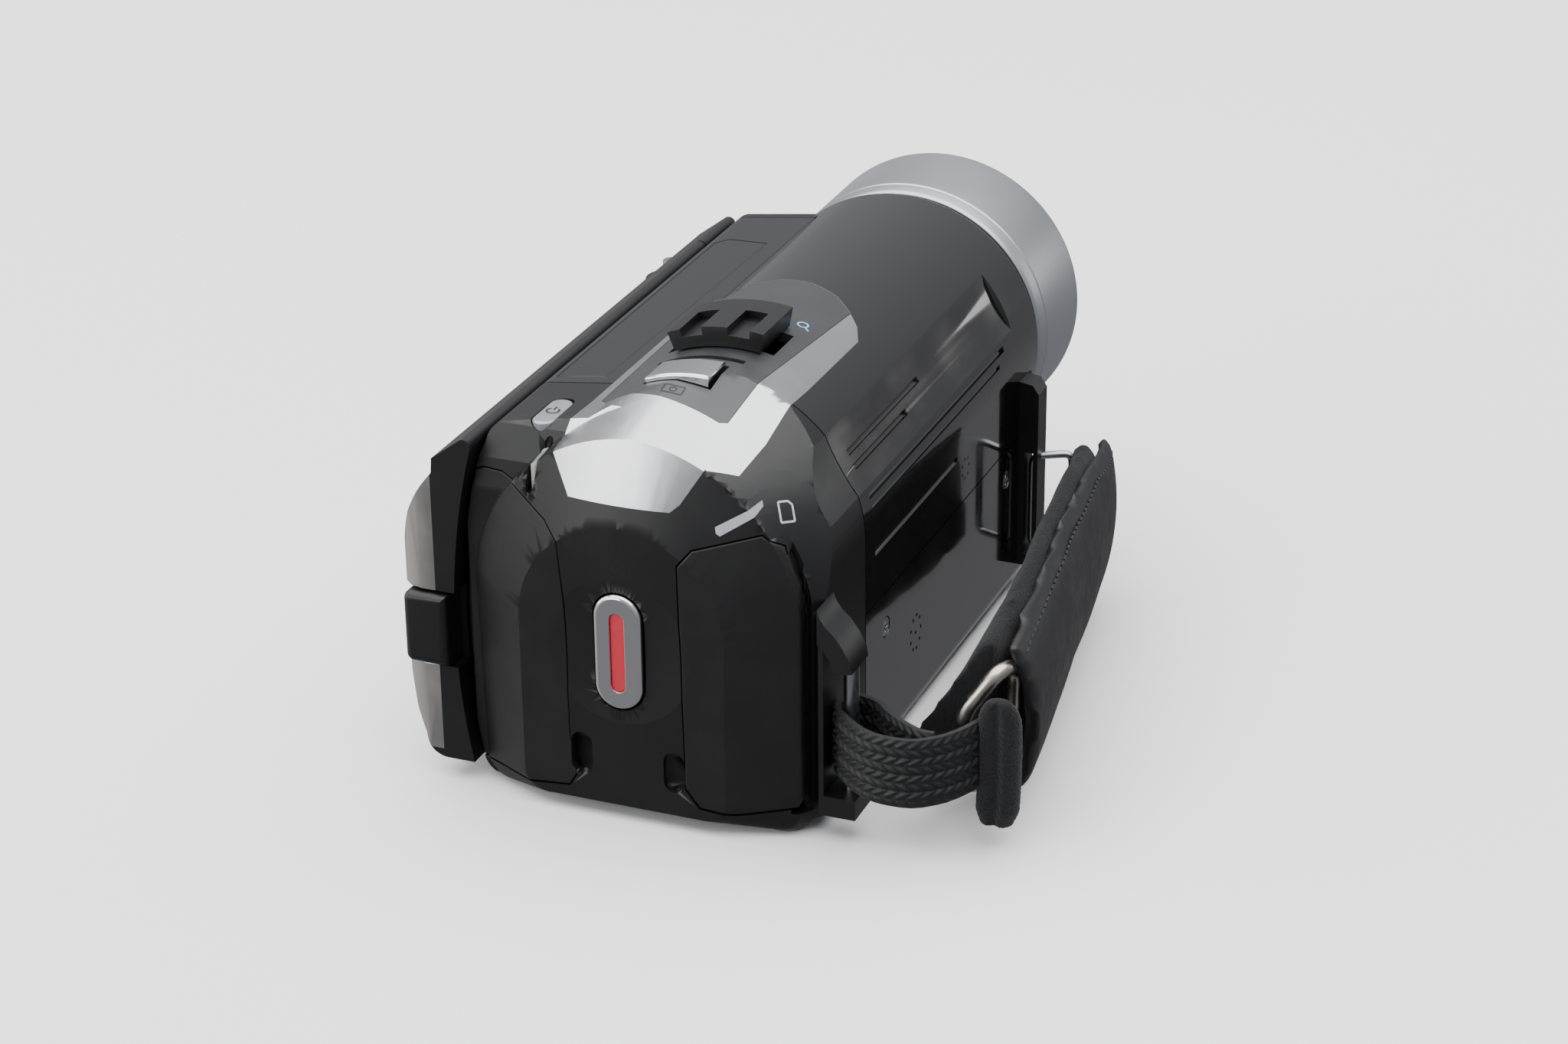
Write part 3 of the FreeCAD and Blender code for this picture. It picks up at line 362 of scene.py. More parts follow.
def grained(tree, shader, size_mm, depth_mm, strength, kind="ShaderNodeTexNoise", detail=2.0):
    """Moulded or cast grain as a bump, from its real size and depth."""
    place = node(tree, "ShaderNodeTexCoord")
    grain = node(tree, kind, {"Scale": 1.0 / (size_mm * MM)}, {"Vector": place.outputs["Object"]})
    if "Detail" in grain.inputs:
        grain.inputs["Detail"].default_value = detail
    output = grain.outputs["Fac"] if "Fac" in grain.outputs else grain.outputs["Distance"]
    relief = node(tree, "ShaderNodeBump", {"Strength": strength, "Distance": depth_mm * MM},
                  {"Height": output})
    tree.links.new(relief.outputs["Normal"], shader.inputs["Normal"])


def make_finishes(look):
    """Every finish on the camcorder, by a short name."""
    done = {}

    # Moulded ABS, spark-eroded satin: a fine grain that spreads highlights wide.
    # The real grain is about 0.1 mm, drawn at 0.3 mm so that it shows.
    made, tree, shader = material("Moulded ABS, satin black", {"Base Color": linear("#0b0b0d"), "IOR": 1.46})
    mottled(tree, shader, "Roughness", 0.36, 0.44, 9.0)
    mottled(tree, shader, "Base Color", linear("#09090b"), linear("#0e0e10"), 16.0)
    grained(tree, shader, 0.3, 0.02, 0.22)
    done["satin_abs"] = made

    # Lacquered ABS, piano black: mirror highlights with faint wipe marks.
    made, tree, shader = material("Lacquered ABS, piano black", {
        "Base Color": (*look.gloss_colour, 1.0), "IOR": 1.5, "Coat Weight": 0.5, "Coat Roughness": 0.03})
    mottled(tree, shader, "Roughness", 0.05, 0.15, 14.0, 6.0)
    grained(tree, shader, 2.6, 0.004, 0.05)
    done["gloss_abs"] = made

    # Semi-gloss ABS on the deck and shoe: greyer and hazier than the piano black.
    made, tree, shader = material("Semi-gloss ABS, graphite", {"Base Color": linear("#1b1c1f"), "IOR": 1.48})
    mottled(tree, shader, "Roughness", 0.2, 0.3, 12.0, 4.0)
    grained(tree, shader, 0.3, 0.01, 0.08)
    done["graphite_abs"] = made

    # Filled polycarbonate, satin graphite, under the finger keys.
    made, tree, shader = material("Moulded polycarbonate, graphite", {
        "Base Color": linear("#2c2d30"), "IOR": 1.58})
    mottled(tree, shader, "Roughness", 0.34, 0.44, 7.0)
    grained(tree, shader, 0.3, 0.015, 0.16)
    done["graphite_pc"] = made

    # Satin chrome plating on the trim: bright, slightly frosted metal.
    made, tree, shader = material("Satin chrome plate", {"Base Color": linear("#c3c4c7"), "Metallic": 1.0})
    mottled(tree, shader, "Roughness", 0.17, 0.27, 11.0, 5.0)
    grained(tree, shader, 0.28, 0.006, 0.08)
    done["satin_chrome"] = made

    # Bright chrome plating on the keys: a clear mirror with finger haze.
    made, tree, shader = material("Bright chrome plate", {"Base Color": linear("#dddddf"), "Metallic": 1.0})
    mottled(tree, shader, "Roughness", 0.05, 0.15, 5.0, 5.0)
    done["bright_chrome"] = made

    # Anodised aluminium, bead blasted: even silver grey with a soft sheen.
    made, tree, shader = material("Anodised aluminium, bead blasted", {
        "Base Color": (*look.ring_colour, 1.0), "Metallic": 1.0})
    mottled(tree, shader, "Roughness", 0.36, 0.43, 20.0)
    grained(tree, shader, 0.25, 0.008, 0.14)
    done["anodised"] = made

    # Polished stainless sheet on the screen's back, smudged by hands.
    made, tree, shader = material("Polished stainless sheet", {
        "Base Color": linear("#c4c2bf"), "Metallic": 1.0})
    mottled(tree, shader, "Roughness", 0.1, 0.34, 6.0, 8.0)
    grained(tree, shader, 3.5, 0.006, 0.08)
    done["polished_steel"] = made

    # Thermoplastic elastomer on the socket covers: soft, greyed highlights.
    made, tree, shader = material("Moulded elastomer, black", {"Base Color": linear("#0c0c0d"), "IOR": 1.44})
    mottled(tree, shader, "Roughness", 0.38, 0.5, 7.0, 5.0)
    mottled(tree, shader, "Base Color", linear("#0b0b0c"), linear("#111113"), 5.0)
    grained(tree, shader, 0.35, 0.015, 0.16)
    done["elastomer"] = made

    # Polyurethane leatherette: a pebbled skin about 0.8 mm across.
    made, tree, shader = material("Polyurethane leatherette, black", {
        "Base Color": (*look.leather_colour, 1.0), "IOR": 1.45})
    mottled(tree, shader, "Roughness", 0.4, 0.56, 3.0, 5.0)
    place = node(tree, "ShaderNodeTexCoord")
    pebbles = node(tree, "ShaderNodeTexVoronoi", {"Scale": 1.0 / (0.8 * MM), "Randomness": 1.0},
                   {"Vector": place.outputs["Object"]})
    creases = node(tree, "ShaderNodeTexNoise", {"Scale": 1.0 / (4.5 * MM), "Detail": 4.0},
                   {"Vector": place.outputs["Object"]})
    fine = node(tree, "ShaderNodeBump", {"Strength": 0.22, "Distance": 0.05 * MM},
                {"Height": pebbles.outputs["Distance"]})
    soft = node(tree, "ShaderNodeBump", {"Strength": 0.3, "Distance": 0.5 * MM},
                {"Height": creases.outputs["Fac"], "Normal": fine.outputs["Normal"]})
    tree.links.new(soft.outputs["Normal"], shader.inputs["Normal"])
    done["leather"] = made

    # Woven nylon webbing: spun yarn with a dry sheen and fine fibres.
    made, tree, shader = material("Woven nylon webbing, black", {
        "IOR": 1.45, "Sheen Weight": 0.06, "Sheen Roughness": 0.4})
    mottled(tree, shader, "Roughness", 0.5, 0.66, 1.5, 5.0)
    mottled(tree, shader, "Base Color", linear("#08090a"), linear("#131416"), 0.5, 5.0)
    grained(tree, shader, 0.16, 0.03, 0.4, detail=4.0)
    done["nylon"] = made

    # Brushed pile lining: loose loops that catch light at their tips.
    made, tree, shader = material("Brushed pile, black", {
        "Roughness": 0.95, "Specular IOR Level": 0.25, "Sheen Weight": 0.08, "Sheen Roughness": 0.5})
    mottled(tree, shader, "Base Color", linear("#050506"), linear("#17181b"), 0.6, 6.0)
    grained(tree, shader, 0.35, 0.35, 0.8, detail=6.0)
    done["pile"] = made

    # Sewing thread: twisted polyester, a touch lighter than the leather.
    made, tree, shader = material("Polyester thread, black", {
        "Base Color": linear("#0d0d0e"), "Sheen Weight": 0.05})
    mottled(tree, shader, "Roughness", 0.45, 0.6, 0.4)
    done["thread"] = made

    # Tinted acrylic insert: clear red under a hard, shiny face.
    made, tree, shader = material("Tinted acrylic, red", {
        "Base Color": (*look.stripe_colour, 1.0), "IOR": 1.45, "Coat Weight": 0.15, "Coat Roughness": 0.1})
    mottled(tree, shader, "Roughness", 0.4, 0.5, 2.0)
    done["red_acrylic"] = made

    # Smoked polycarbonate in the light windows: a hazy grey with a clear, shiny face.
    for key, name, shade in (("access", "Smoked polycarbonate, grey", "#8d8f94"),
                             ("charge", "Smoked polycarbonate, green grey", "#7f8479")):
        made, tree, shader = material(name, {"Base Color": linear(shade), "IOR": 1.58, "Coat Weight": 0.5,
                                             "Coat Roughness": 0.08})
        mottled(tree, shader, "Roughness", 0.2, 0.34, 1.5)
        done[key] = made

    # Silver paint on the power key: fine metal flake under a matt coat.
    made, tree, shader = material("Silver paint on ABS", {"Base Color": linear("#9fa1a6"), "Metallic": 0.75})
    mottled(tree, shader, "Roughness", 0.34, 0.44, 2.0, 5.0)
    grained(tree, shader, 0.3, 0.01, 0.12)
    done["silver_paint"] = made

    # Satin nickel on the strap ring: warm metal with dull patches of wear.
    made, tree, shader = material("Satin nickel wire", {"Base Color": linear("#b9b4ab"), "Metallic": 1.0})
    mottled(tree, shader, "Roughness", 0.2, 0.36, 2.0, 4.0)
    done["nickel"] = made

    # Zinc-plated steel on screws, pins and sockets.
    made, tree, shader = material("Plated steel", {"Base Color": linear("#a9abae"), "Metallic": 1.0})
    mottled(tree, shader, "Roughness", 0.22, 0.36, 1.5, 4.0)
    done["steel"] = made

    # Black oxide on steel: dark with a thin metal sheen.
    made, tree, shader = material("Black oxide steel", {"Base Color": linear("#26272a"), "Metallic": 0.9})
    mottled(tree, shader, "Roughness", 0.28, 0.42, 2.0, 4.0)
    done["black_steel"] = made

    # Multi-coated optical glass, with a violet-green reflection.
    made, tree, shader = material("Coated optical glass", {
        "IOR": 1.6, "Roughness": 0.02, "Coat Weight": 1.0, "Coat Roughness": 0.02,
        "Coat Tint": linear("#b9a6ff")})
    mottled(tree, shader, "Base Color", linear("#07080d"), linear("#0f0b18"), 12.0)
    done["coated_glass"] = made

    # Glass cover of the picture panel: near black and mirror smooth.
    made, tree, shader = material("Display glass", {"IOR": 1.52, "Coat Weight": 0.6, "Coat Roughness": 0.03})
    mottled(tree, shader, "Base Color", linear("#0a0c10"), linear("#0e1116"), 20.0)
    mottled(tree, shader, "Roughness", 0.06, 0.16, 8.0, 6.0)
    done["display"] = made

    # Opal polycarbonate over the lamps: milky, with the pattern of a diffuser.
    made, tree, shader = material("Opal polycarbonate", {"Base Color": linear("#c9cbd0"), "IOR": 1.58})
    mottled(tree, shader, "Roughness", 0.12, 0.22, 2.0)
    grained(tree, shader, 0.9, 0.15, 0.5, kind="ShaderNodeTexVoronoi")
    done["opal"] = made

    # Woven wire over the microphones and the speaker: dark, with a fine dull glint.
    made, tree, shader = material("Acoustic mesh", {"Base Color": linear("#141416"), "Metallic": 0.4})
    mottled(tree, shader, "Roughness", 0.5, 0.65, 1.0)
    grained(tree, shader, 0.4, 0.2, 0.9, kind="ShaderNodeTexVoronoi")
    done["mesh"] = made

    # Solder mask on the board: green lacquer, patchy over the copper under it.
    made, tree, shader = material("Solder mask, green", {"IOR": 1.5})
    mottled(tree, shader, "Base Color", linear("#0d3a1d"), linear("#1b5a30"), 1.6, 1.0)
    mottled(tree, shader, "Roughness", 0.3, 0.45, 3.0)
    done["board"] = made

    # Battery case in matt ABS: dull dark grey with a coarser grain.
    made, tree, shader = material("Battery case, matt ABS", {"Base Color": linear("#232427"), "IOR": 1.46})
    mottled(tree, shader, "Roughness", 0.48, 0.58, 6.0)
    grained(tree, shader, 0.35, 0.02, 0.2)
    done["battery"] = made

    # Printed marks: thin pad-printed ink, pale grey.
    made, tree, shader = material("Pad-printed ink, pale grey", {"Base Color": linear("#a8abb0")})
    mottled(tree, shader, "Roughness", 0.45, 0.6, 0.8)
    done["ink"] = made

    # Black ink for the marks on bright keys and graphite plastic.
    made, tree, shader = material("Pad-printed ink, black", {"Base Color": linear("#060607")})
    mottled(tree, shader, "Roughness", 0.45, 0.6, 0.8)
    done["dark_ink"] = made

    # Pale blue ink beside the zoom lever, a little brighter than the grey.
    made, tree, shader = material("Pad-printed ink, pale blue", {"Base Color": linear("#6fb7d6")})
    mottled(tree, shader, "Roughness", 0.45, 0.6, 0.8)
    done["pale_blue_ink"] = made

    # Painted floor: matt and pale, so that only soft shadows lie on it.
    made, tree, shader = material("Matt white paint", {"Base Color": linear("#f4f4f5")})
    mottled(tree, shader, "Roughness", 0.82, 0.9, 300.0)
    done["floor"] = made
    return done


FINISH = {}


def finishes():
    """The finishes, made once."""
    if not FINISH:
        FINISH.update(make_finishes(bpy.context.scene.camcorder_look))
    return FINISH


# ---------------------------------------------------------------------------
# Settings
# ---------------------------------------------------------------------------
class CamcorderStrap(bpy.types.PropertyGroup):
    """Sizes of the sewn hand strap."""
    pad_thick: bpy.props.FloatProperty(
        name="Leather pad", description="Thickness of the leather side of the hand pad", default=2.9 * MM,
        min=1.0 * MM, max=6.0 * MM, unit="LENGTH", subtype="DISTANCE")
    web_thick: bpy.props.FloatProperty(
        name="Webbing thickness", description="Thickness of the woven webbing", default=1.1 * MM,
        min=0.5 * MM, max=2.0 * MM, unit="LENGTH", subtype="DISTANCE")
    rib_pitch: bpy.props.FloatProperty(
        name="Rib pitch", description="Width of one rib of the webbing", default=1.38 * MM,
        min=0.5 * MM, max=3.0 * MM, unit="LENGTH", subtype="DISTANCE")
    stitch_pitch: bpy.props.FloatProperty(
        name="Stitch pitch", description="Length of one stitch with its gap", default=1.9 * MM,
        min=1.0 * MM, max=5.0 * MM, unit="LENGTH", subtype="DISTANCE")


class CamcorderLook(bpy.types.PropertyGroup):
    """Colours of the main finishes."""
    gloss_colour: bpy.props.FloatVectorProperty(
        name="Piano black", description="Colour of the lacquered shells", default=linear("#060607")[:3],
        min=0.0, max=1.0, subtype="COLOR")
    ring_colour: bpy.props.FloatVectorProperty(
        name="Lens ring", description="Colour of the anodised lens ring", default=linear("#b4b7bd")[:3],
        min=0.0, max=1.0, subtype="COLOR")
    leather_colour: bpy.props.FloatVectorProperty(
        name="Leather", description="Colour of the hand pad", default=linear("#101012")[:3],
        min=0.0, max=1.0, subtype="COLOR")
    stripe_colour: bpy.props.FloatVectorProperty(
        name="Record stripe", description="Colour of the stripe in the record button",
        default=linear("#a00f22")[:3], min=0.0, max=1.0, subtype="COLOR")


# ---------------------------------------------------------------------------
# Pieces
# ---------------------------------------------------------------------------
# Soft lights: name, place, aim, width, height (m) and power (W).
LIGHTS = (
    ("overhead_soft", (0.0, 0.0, 1.3), (0, 0, 0), 2.4, 2.2, 60.0),
    ("left_soft", (-1.3, -0.3, 0.45), (0, 0, 0.03), 0.9, 1.0, 9.0),
    ("rear_left_soft", (-0.75, -1.3, 0.5), (0, 0, 0.03), 0.9, 0.7, 9.0),
    ("front_right_soft", (1.0, 1.25, 0.22), (0, 0, 0.03), 0.3, 0.35, 1.2),
)
FLOOR_SIDE = 6.0
VIEW_TURN, VIEW_LIFT, VIEW_LEAN = 22.011, 24.814, -0.601  # camera angles, in degrees
VIEW_PLACE = (199.03, -485.95, 265.80)                    # in mm
VIEW_LENS = 82.756                                        # focal length on a 36 mm sensor
LOW_AIR, MIDDLE_AIR, HIGH_AIR = (0.26, 0.26, 0.27, 1), (0.34, 0.345, 0.355, 1), (0.8, 0.81, 0.83, 1)
WINDOW_SIDE = (0.95, 0.93, 0.9, 1.0)


class CAMCORDER_OT_stage(bpy.types.Operator):
    """Floor, soft lights and the camera"""
    bl_idname = "camcorder.stage"
    bl_label = "Stage"

    def execute(self, context):
        select_only()
        bpy.ops.mesh.primitive_plane_add(size=FLOOR_SIDE, location=(0, 0, 0))
        floor = context.active_object
        floor.name = "floor"
        floor.data.transform(Matrix.Translation((0, 0, CAD_BOX[0][2])))
        floor.data.materials.append(finishes()["floor"])
        floor.visible_glossy = False

        world = bpy.data.worlds.new("Studio")
        world.use_nodes = True
        tree = world.node_tree
        tree.nodes.clear()
        way = node(tree, "ShaderNodeTexCoord")
        split = node(tree, "ShaderNodeSeparateXYZ", None, {0: way.outputs["Generated"]})
        limits = {"From Min": -0.25, "From Max": 0.75, "To Min": 0.0, "To Max": 1.0}
        rise = node(tree, "ShaderNodeMapRange", limits, {"Value": split.outputs["Z"]})
        shade = node(tree, "ShaderNodeValToRGB", None, {"Fac": rise.outputs["Result"]})
        shade.color_ramp.elements[0].color = LOW_AIR
        shade.color_ramp.elements[1].color = HIGH_AIR
        shade.color_ramp.elements.new(0.3).color = MIDDLE_AIR
        limits = {"From Min": -0.45, "From Max": -0.95, "To Min": 0.0, "To Max": 0.7}
        window = node(tree, "ShaderNodeMapRange", limits, {"Value": split.outputs["X"]})
        air = node(tree, "ShaderNodeMix", {"data_type": "RGBA", 7: WINDOW_SIDE},
                   {0: window.outputs["Result"], 6: shade.outputs["Color"]})
        glow = node(tree, "ShaderNodeBackground", {"Strength": 1.0}, {"Color": air.outputs[2]})
        node(tree, "ShaderNodeOutputWorld", None, {"Surface": glow.outputs["Background"]})
        context.scene.world = world

        for name, where, aim, wide, tall, power in LIGHTS:
            lamp = bpy.data.lights.new(name, "AREA")
            lamp.shape = "RECTANGLE"
            lamp.size, lamp.size_y, lamp.energy = wide, tall, power
            holder = bpy.data.objects.new(name, lamp)
            holder.location = where
            holder.rotation_euler = (Vector(aim) - Vector(where)).to_track_quat("-Z", "Y").to_euler()
            context.scene.collection.objects.link(holder)

        turn, lift, lean = (math.radians(angle) for angle in (VIEW_TURN, VIEW_LIFT, VIEW_LEAN))
        back = Vector((math.sin(turn) * math.cos(lift), -math.cos(turn) * math.cos(lift), math.sin(lift)))
        right = (-back).cross(Vector((0, 0, 1))).normalized()
        up = right.cross(-back)
        side = right * math.cos(lean) + up * math.sin(lean)
        head = up * math.cos(lean) - right * math.sin(lean)
        lens = bpy.data.cameras.new("camera")
        lens.lens, lens.sensor_width, lens.clip_start = VIEW_LENS, 36.0, 0.01
        camera = bpy.data.objects.new("camera", lens)
        camera.matrix_world = Matrix((side, head, back)).transposed().to_4x4()
        camera.location = Vector(VIEW_PLACE) * MM
        context.scene.collection.objects.link(camera)
        context.scene.camera = camera
        return {"FINISHED"}


class CAMCORDER_OT_shells(bpy.types.Operator):
    """Rear housing, barrel, deck and grip shells, bezel and bottom"""
    bl_idname = "camcorder.shells"
    bl_label = "Shells"

    def execute(self, context):
        look = finishes()
        refine("rear_housing", look["satin_abs"], angle=11.0, flat=0.0)
        refine("barrel_shell", look["gloss_abs"], true_round=True)
        refine("grip_cover", look["gloss_abs"], edge=0.15)
        refine("deck_shell", look["graphite_abs"], edge=0.2)
        refine("front_bezel", look["satin_abs"], edge=0.2)
        refine("bottom_plate", look["satin_abs"], edge=0.2)
        refine("battery_door", look["satin_abs"], edge=0.2)
        refine("door_latch", look["graphite_pc"], edge=0.1)
        refine("shoe_cover", look["graphite_abs"], edge=0.15)
        refine("top_trim", look["satin_chrome"], edge=0.2, angle=16.0)
        refine("control_panel", look["graphite_pc"], edge=0.15)
        return {"FINISHED"}


class CAMCORDER_OT_ports(bpy.types.Operator):
    """Socket covers, sockets and jacks"""
    bl_idname = "camcorder.ports"
    bl_label = "Ports"

    def execute(self, context):
        look = finishes()
        for name in ("left_port_cover", "right_port_cover"):
            refine(name, look["elastomer"], edge=0.3, angle=16.0)
        for name in ("usb_socket", "hdmi_socket", "component_socket"):
            refine(name, look["steel"], edge=0.05)
        refine("av_jack", look["graphite_pc"], edge=0.1)
        refine("dc_jack", look["graphite_pc"], edge=0.1)
        refine("tripod_socket", look["steel"], edge=0.1)
        refine("side_screws", look["steel"], edge=0.05)
        refine("speaker", look["mesh"])
        refine("microphones", look["mesh"])
        return {"FINISHED"}


class CAMCORDER_OT_controls(bpy.types.Operator):
    """Record, photo and power keys, zoom lever and light windows"""
    bl_idname = "camcorder.controls"
    bl_label = "Controls"

    def execute(self, context):
        look = finishes()
        refine("start_stop_button", look["bright_chrome"], edge=0.25)
        refine("button_stripe", look["red_acrylic"], edge=0.1)
        refine("photo_button", look["bright_chrome"], edge=0.3)
        refine("power_button", look["silver_paint"], edge=0.25)
        refine("zoom_rocker", look["satin_abs"], edge=0.4)
        refine("access_lamp", look["access"], edge=0.05)
        refine("charge_lamp", look["charge"], edge=0.05)
        refine("assist_lamp", look["opal"], edge=0.1)
        refine("flash_window", look["opal"], edge=0.1)
        return {"FINISHED"}


# Section of the lens ring: (y, radius) of its outer face, how round each corner is, its inner face.
RING_OUTSIDE = [(108.2, 22.3), (108.2, 23.45), (108.7, 23.75), (110.9, 24.1), (111.15, 23.95),
                (111.45, 24.15), (128.0, 24.24), (129.0, 23.5), (129.0, 22.4), (127.4, 20.6)]
RING_CORNERS = [0, 0.2, 0.3, 0.12, 0.1, 0.15, 0.7, 0.6, 0.6, 0.4]
RING_LIP = [(127.4, 18.9)]
RING_INSIDE = [(123.2, 19.6), (121.6, 19.6), (121.6, 21.7), (112.2, 21.7), (112.2, 22.3)]
THREAD_R, THREAD_DEEP, THREAD_STEP, THREAD_COUNT = 18.5, 0.32, 0.25, 17


class CAMCORDER_OT_lens(bpy.types.Operator):
    """Lens ring with its filter thread, lens cover and glass"""
    bl_idname = "camcorder.lens"
    bl_label = "Lens"

    def execute(self, context):
        look = finishes()
        thread = [(RING_LIP[0][0] - THREAD_STEP * i, THREAD_R + (THREAD_DEEP if i % 2 else 0.0))
                  for i in range(THREAD_COUNT)]
        outside = [tuple(point) for point in softened(RING_OUTSIDE, RING_CORNERS)]
        ring = lathe("lens_ring_turned", outside + RING_LIP + thread + RING_INSIDE, steps=160)
        smooth(ring, 24)
        settle(ring, "lens_ring_turned", look["anodised"], "camera_body", SLOT_OF["lens_ring"], "lens_ring")
        refine("lens_collar", look["satin_abs"], edge=0.1)
        refine("window_plate", look["graphite_pc"], edge=0.2)
        refine("upper_blade", look["black_steel"], edge=0.1)
        refine("lower_blade", look["black_steel"], edge=0.1)
        refine("front_glass", look["coated_glass"])
        refine("zoom_glass", look["coated_glass"])
        refine("focus_lens", look["coated_glass"])
        refine("lens_tube", look["satin_abs"], edge=0.1)
        refine("zoom_carrier", look["satin_abs"], edge=0.1)
        refine("image_sensor", look["display"], edge=0.05)
        refine("main_board", look["board"], edge=0.05)
        refine("battery_pack", look["battery"], edge=0.2)
        return {"FINISHED"}


class CAMCORDER_OT_screen(bpy.types.Operator):
    """Side screen, its plate, keys and hinge"""
    bl_idname = "camcorder.screen"
    bl_label = "Side screen"

    def execute(self, context):
        look = finishes()
        refine("screen_frame", look["satin_abs"], edge=0.25)
        refine("screen_plate", look["polished_steel"], edge=0.15)
        refine("display_panel", look["display"], edge=0.05)
        refine("screen_joystick", look["graphite_pc"], edge=0.2)
        refine("record_key", look["silver_paint"], edge=0.2)
        refine("hinge_block", look["satin_abs"], edge=0.3)
        refine("hinge_pin", look["steel"], edge=0.1)
        return {"FINISHED"}


# Wire rings: node, corners of the wire, wire radius, corner size and finish.
WIRES = (
    ("front_ring", [(31.75, 98.6, 7.5), (31.75, 98.6, 23.6), (38.0, 100.6, 24.2), (38.0, 100.6, 7.5)],
     0.65, 1.6, "steel"),
    ("strap_ring", [(49.6, 12.8, 8.6), (49.3, 13.0, 20.8), (54.0, 15.0, 27.6), (55.0, 20.4, 26.0),
                    (54.4, 20.4, 8.6)], 1.2, 2.4, "nickel"),
)


class CAMCORDER_OT_fittings(bpy.types.Operator):
    """Strap lugs, pin and wire rings"""
    bl_idname = "camcorder.fittings"
    bl_label = "Strap fittings"

    def execute(self, context):
        look = finishes()
        refine("rear_lug", look["satin_abs"], edge=0.35)
        refine("lug_pin", look["steel"], edge=0.2)
        refine("front_lug", look["satin_abs"], edge=0.35)
        for name, corners, radius, turn, finish in WIRES:
            bent = softened([at(*corner) / MM for corner in corners], [turn] * len(corners), steps=6)
            wire = tube(name + "_wire", [point * MM for point in bent], radius * MM)
            smooth(wire, 40)
            settle(wire, name + "_wire", look[finish], BODY_OF[name], SLOT_OF[name], name)
        return {"FINISHED"}


# Middle line of the webbing, seen from above: round the lug pin and back on itself.
WEB_LINE = [(52.4, 11.6), (51.6, 9.4), (50.4, 6.9), (48.6, 4.4), (45.4, 2.0), (41.2, 1.6), (38.0, 2.5),
            (35.2, 4.4), (33.3, 6.2), (32.0, 7.6), (31.5, 9.4), (32.0, 11.4), (33.3, 12.5), (36.6, 11.6),
            (39.2, 9.2), (42.2, 7.0), (45.2, 5.4), (47.6, 5.2)]
WEB_LOW, WEB_HIGH = 10.2, 21.2
WEB_STEP, WEB_ACROSS = 0.22, 52
WEAVE_PITCH = 1.7          # one twist of the yarn along a rib, in mm
WEAVE_SLANT = 1.2
TAIL_ROWS, TAIL_SIDES = 48, 48
TAIL_FOOT, TAIL_TALL = 4.0, 20.6
TAIL_X, TAIL_Y = 54.9, 12.0
TAIL_HALF_X, TAIL_HALF_Y = 3.3, 2.5


class CAMCORDER_OT_webbing(bpy.types.Operator):
    """Woven webbing and its folded tail"""
    bl_idname = "camcorder.webbing"
    bl_label = "Webbing"

    def execute(self, context):
        look = finishes()
        strap = context.scene.camcorder_strap
        half = strap.web_thick / 2
        line = flowing([at(x, y, 0) for x, y in WEB_LINE], WEB_STEP * MM)
        low, high = WEB_LOW * MM, WEB_HIGH * MM
        rings = []
        reach = 0.0
        for i, here in enumerate(line):
            along = (line[min(i + 1, len(line) - 1)] - line[max(i - 1, 0)]).normalized()
            out = Vector((along.y, -along.x, 0.0))
            reach += (here - line[i - 1]).length if i else 0.0
            ring = []
            for side in (1, -1):
                for k in range(WEB_ACROSS + 1):
                    t = k / WEB_ACROSS if side > 0 else 1 - k / WEB_ACROSS
                    rib = t * (high - low) / strap.rib_pitch
                    f = rib % 1.0
                    slant = (f - 0.5) * (WEAVE_SLANT if int(rib) % 2 else -WEAVE_SLANT)
                    wave = 0.5 + 0.5 * math.cos(2 * math.pi * (reach / (WEAVE_PITCH * MM) + slant))
                    crown = math.sqrt(max(0.0, 1 - (2 * f - 1) ** 2))
                    lift = (0.16 + 0.4 * wave) * crown * MM * min(1.0, 8 * min(t, 1 - t) + 0.2)
                    rise = Vector((0, 0, low + t * (high - low)))
                    ring.append(here + out * side * (half - 0.2 * MM + lift) + rise)
            rings.append(ring)
        web = loft("webbing_woven", rings)
        smooth(web, 60)
        settle(web, "webbing_woven", look["nylon"], "camera_body", SLOT_OF["webbing"], "webbing")

        rings = []
        for i in range(TAIL_ROWS + 1):
            t = i / TAIL_ROWS
            head = math.sqrt(max(0.02, 1.0 - max(0.0, (t - 0.8) / 0.22) ** 2))
            swell = head * (0.72 + 0.28 * min(1.0, t / 0.12))
            cx, cy = TAIL_X + 0.5 * math.sin(2.4 * t), TAIL_Y + 0.3 * math.cos(3.0 * t)
            ring = []
            for k in range(TAIL_SIDES):
                a = 2 * math.pi * k / TAIL_SIDES
                fold = 1.0 - 0.42 * math.exp(-((a - 1.5 * math.pi) / 0.3) ** 2)
                shag = 0.12 * math.sin(k * 2.6 + i * 1.7) + 0.1 * math.sin(k * 5.3 - i * 3.1)
                x = cx + (TAIL_HALF_X * swell + shag) * math.cos(a)
                y = cy + (TAIL_HALF_Y * swell * fold + shag) * math.sin(a)
                ring.append(at(x, y, TAIL_FOOT + TAIL_TALL * t))
            rings.append(ring)
        tail = loft("strap_tail_pile", rings)
        modify(tail, "SUBSURF", levels=1, render_levels=1)
        smooth(tail, 60)
        settle(tail, "strap_tail_pile", look["pile"], "camera_body", SLOT_OF["strap_tail"], "strap_tail")
        return {"FINISHED"}


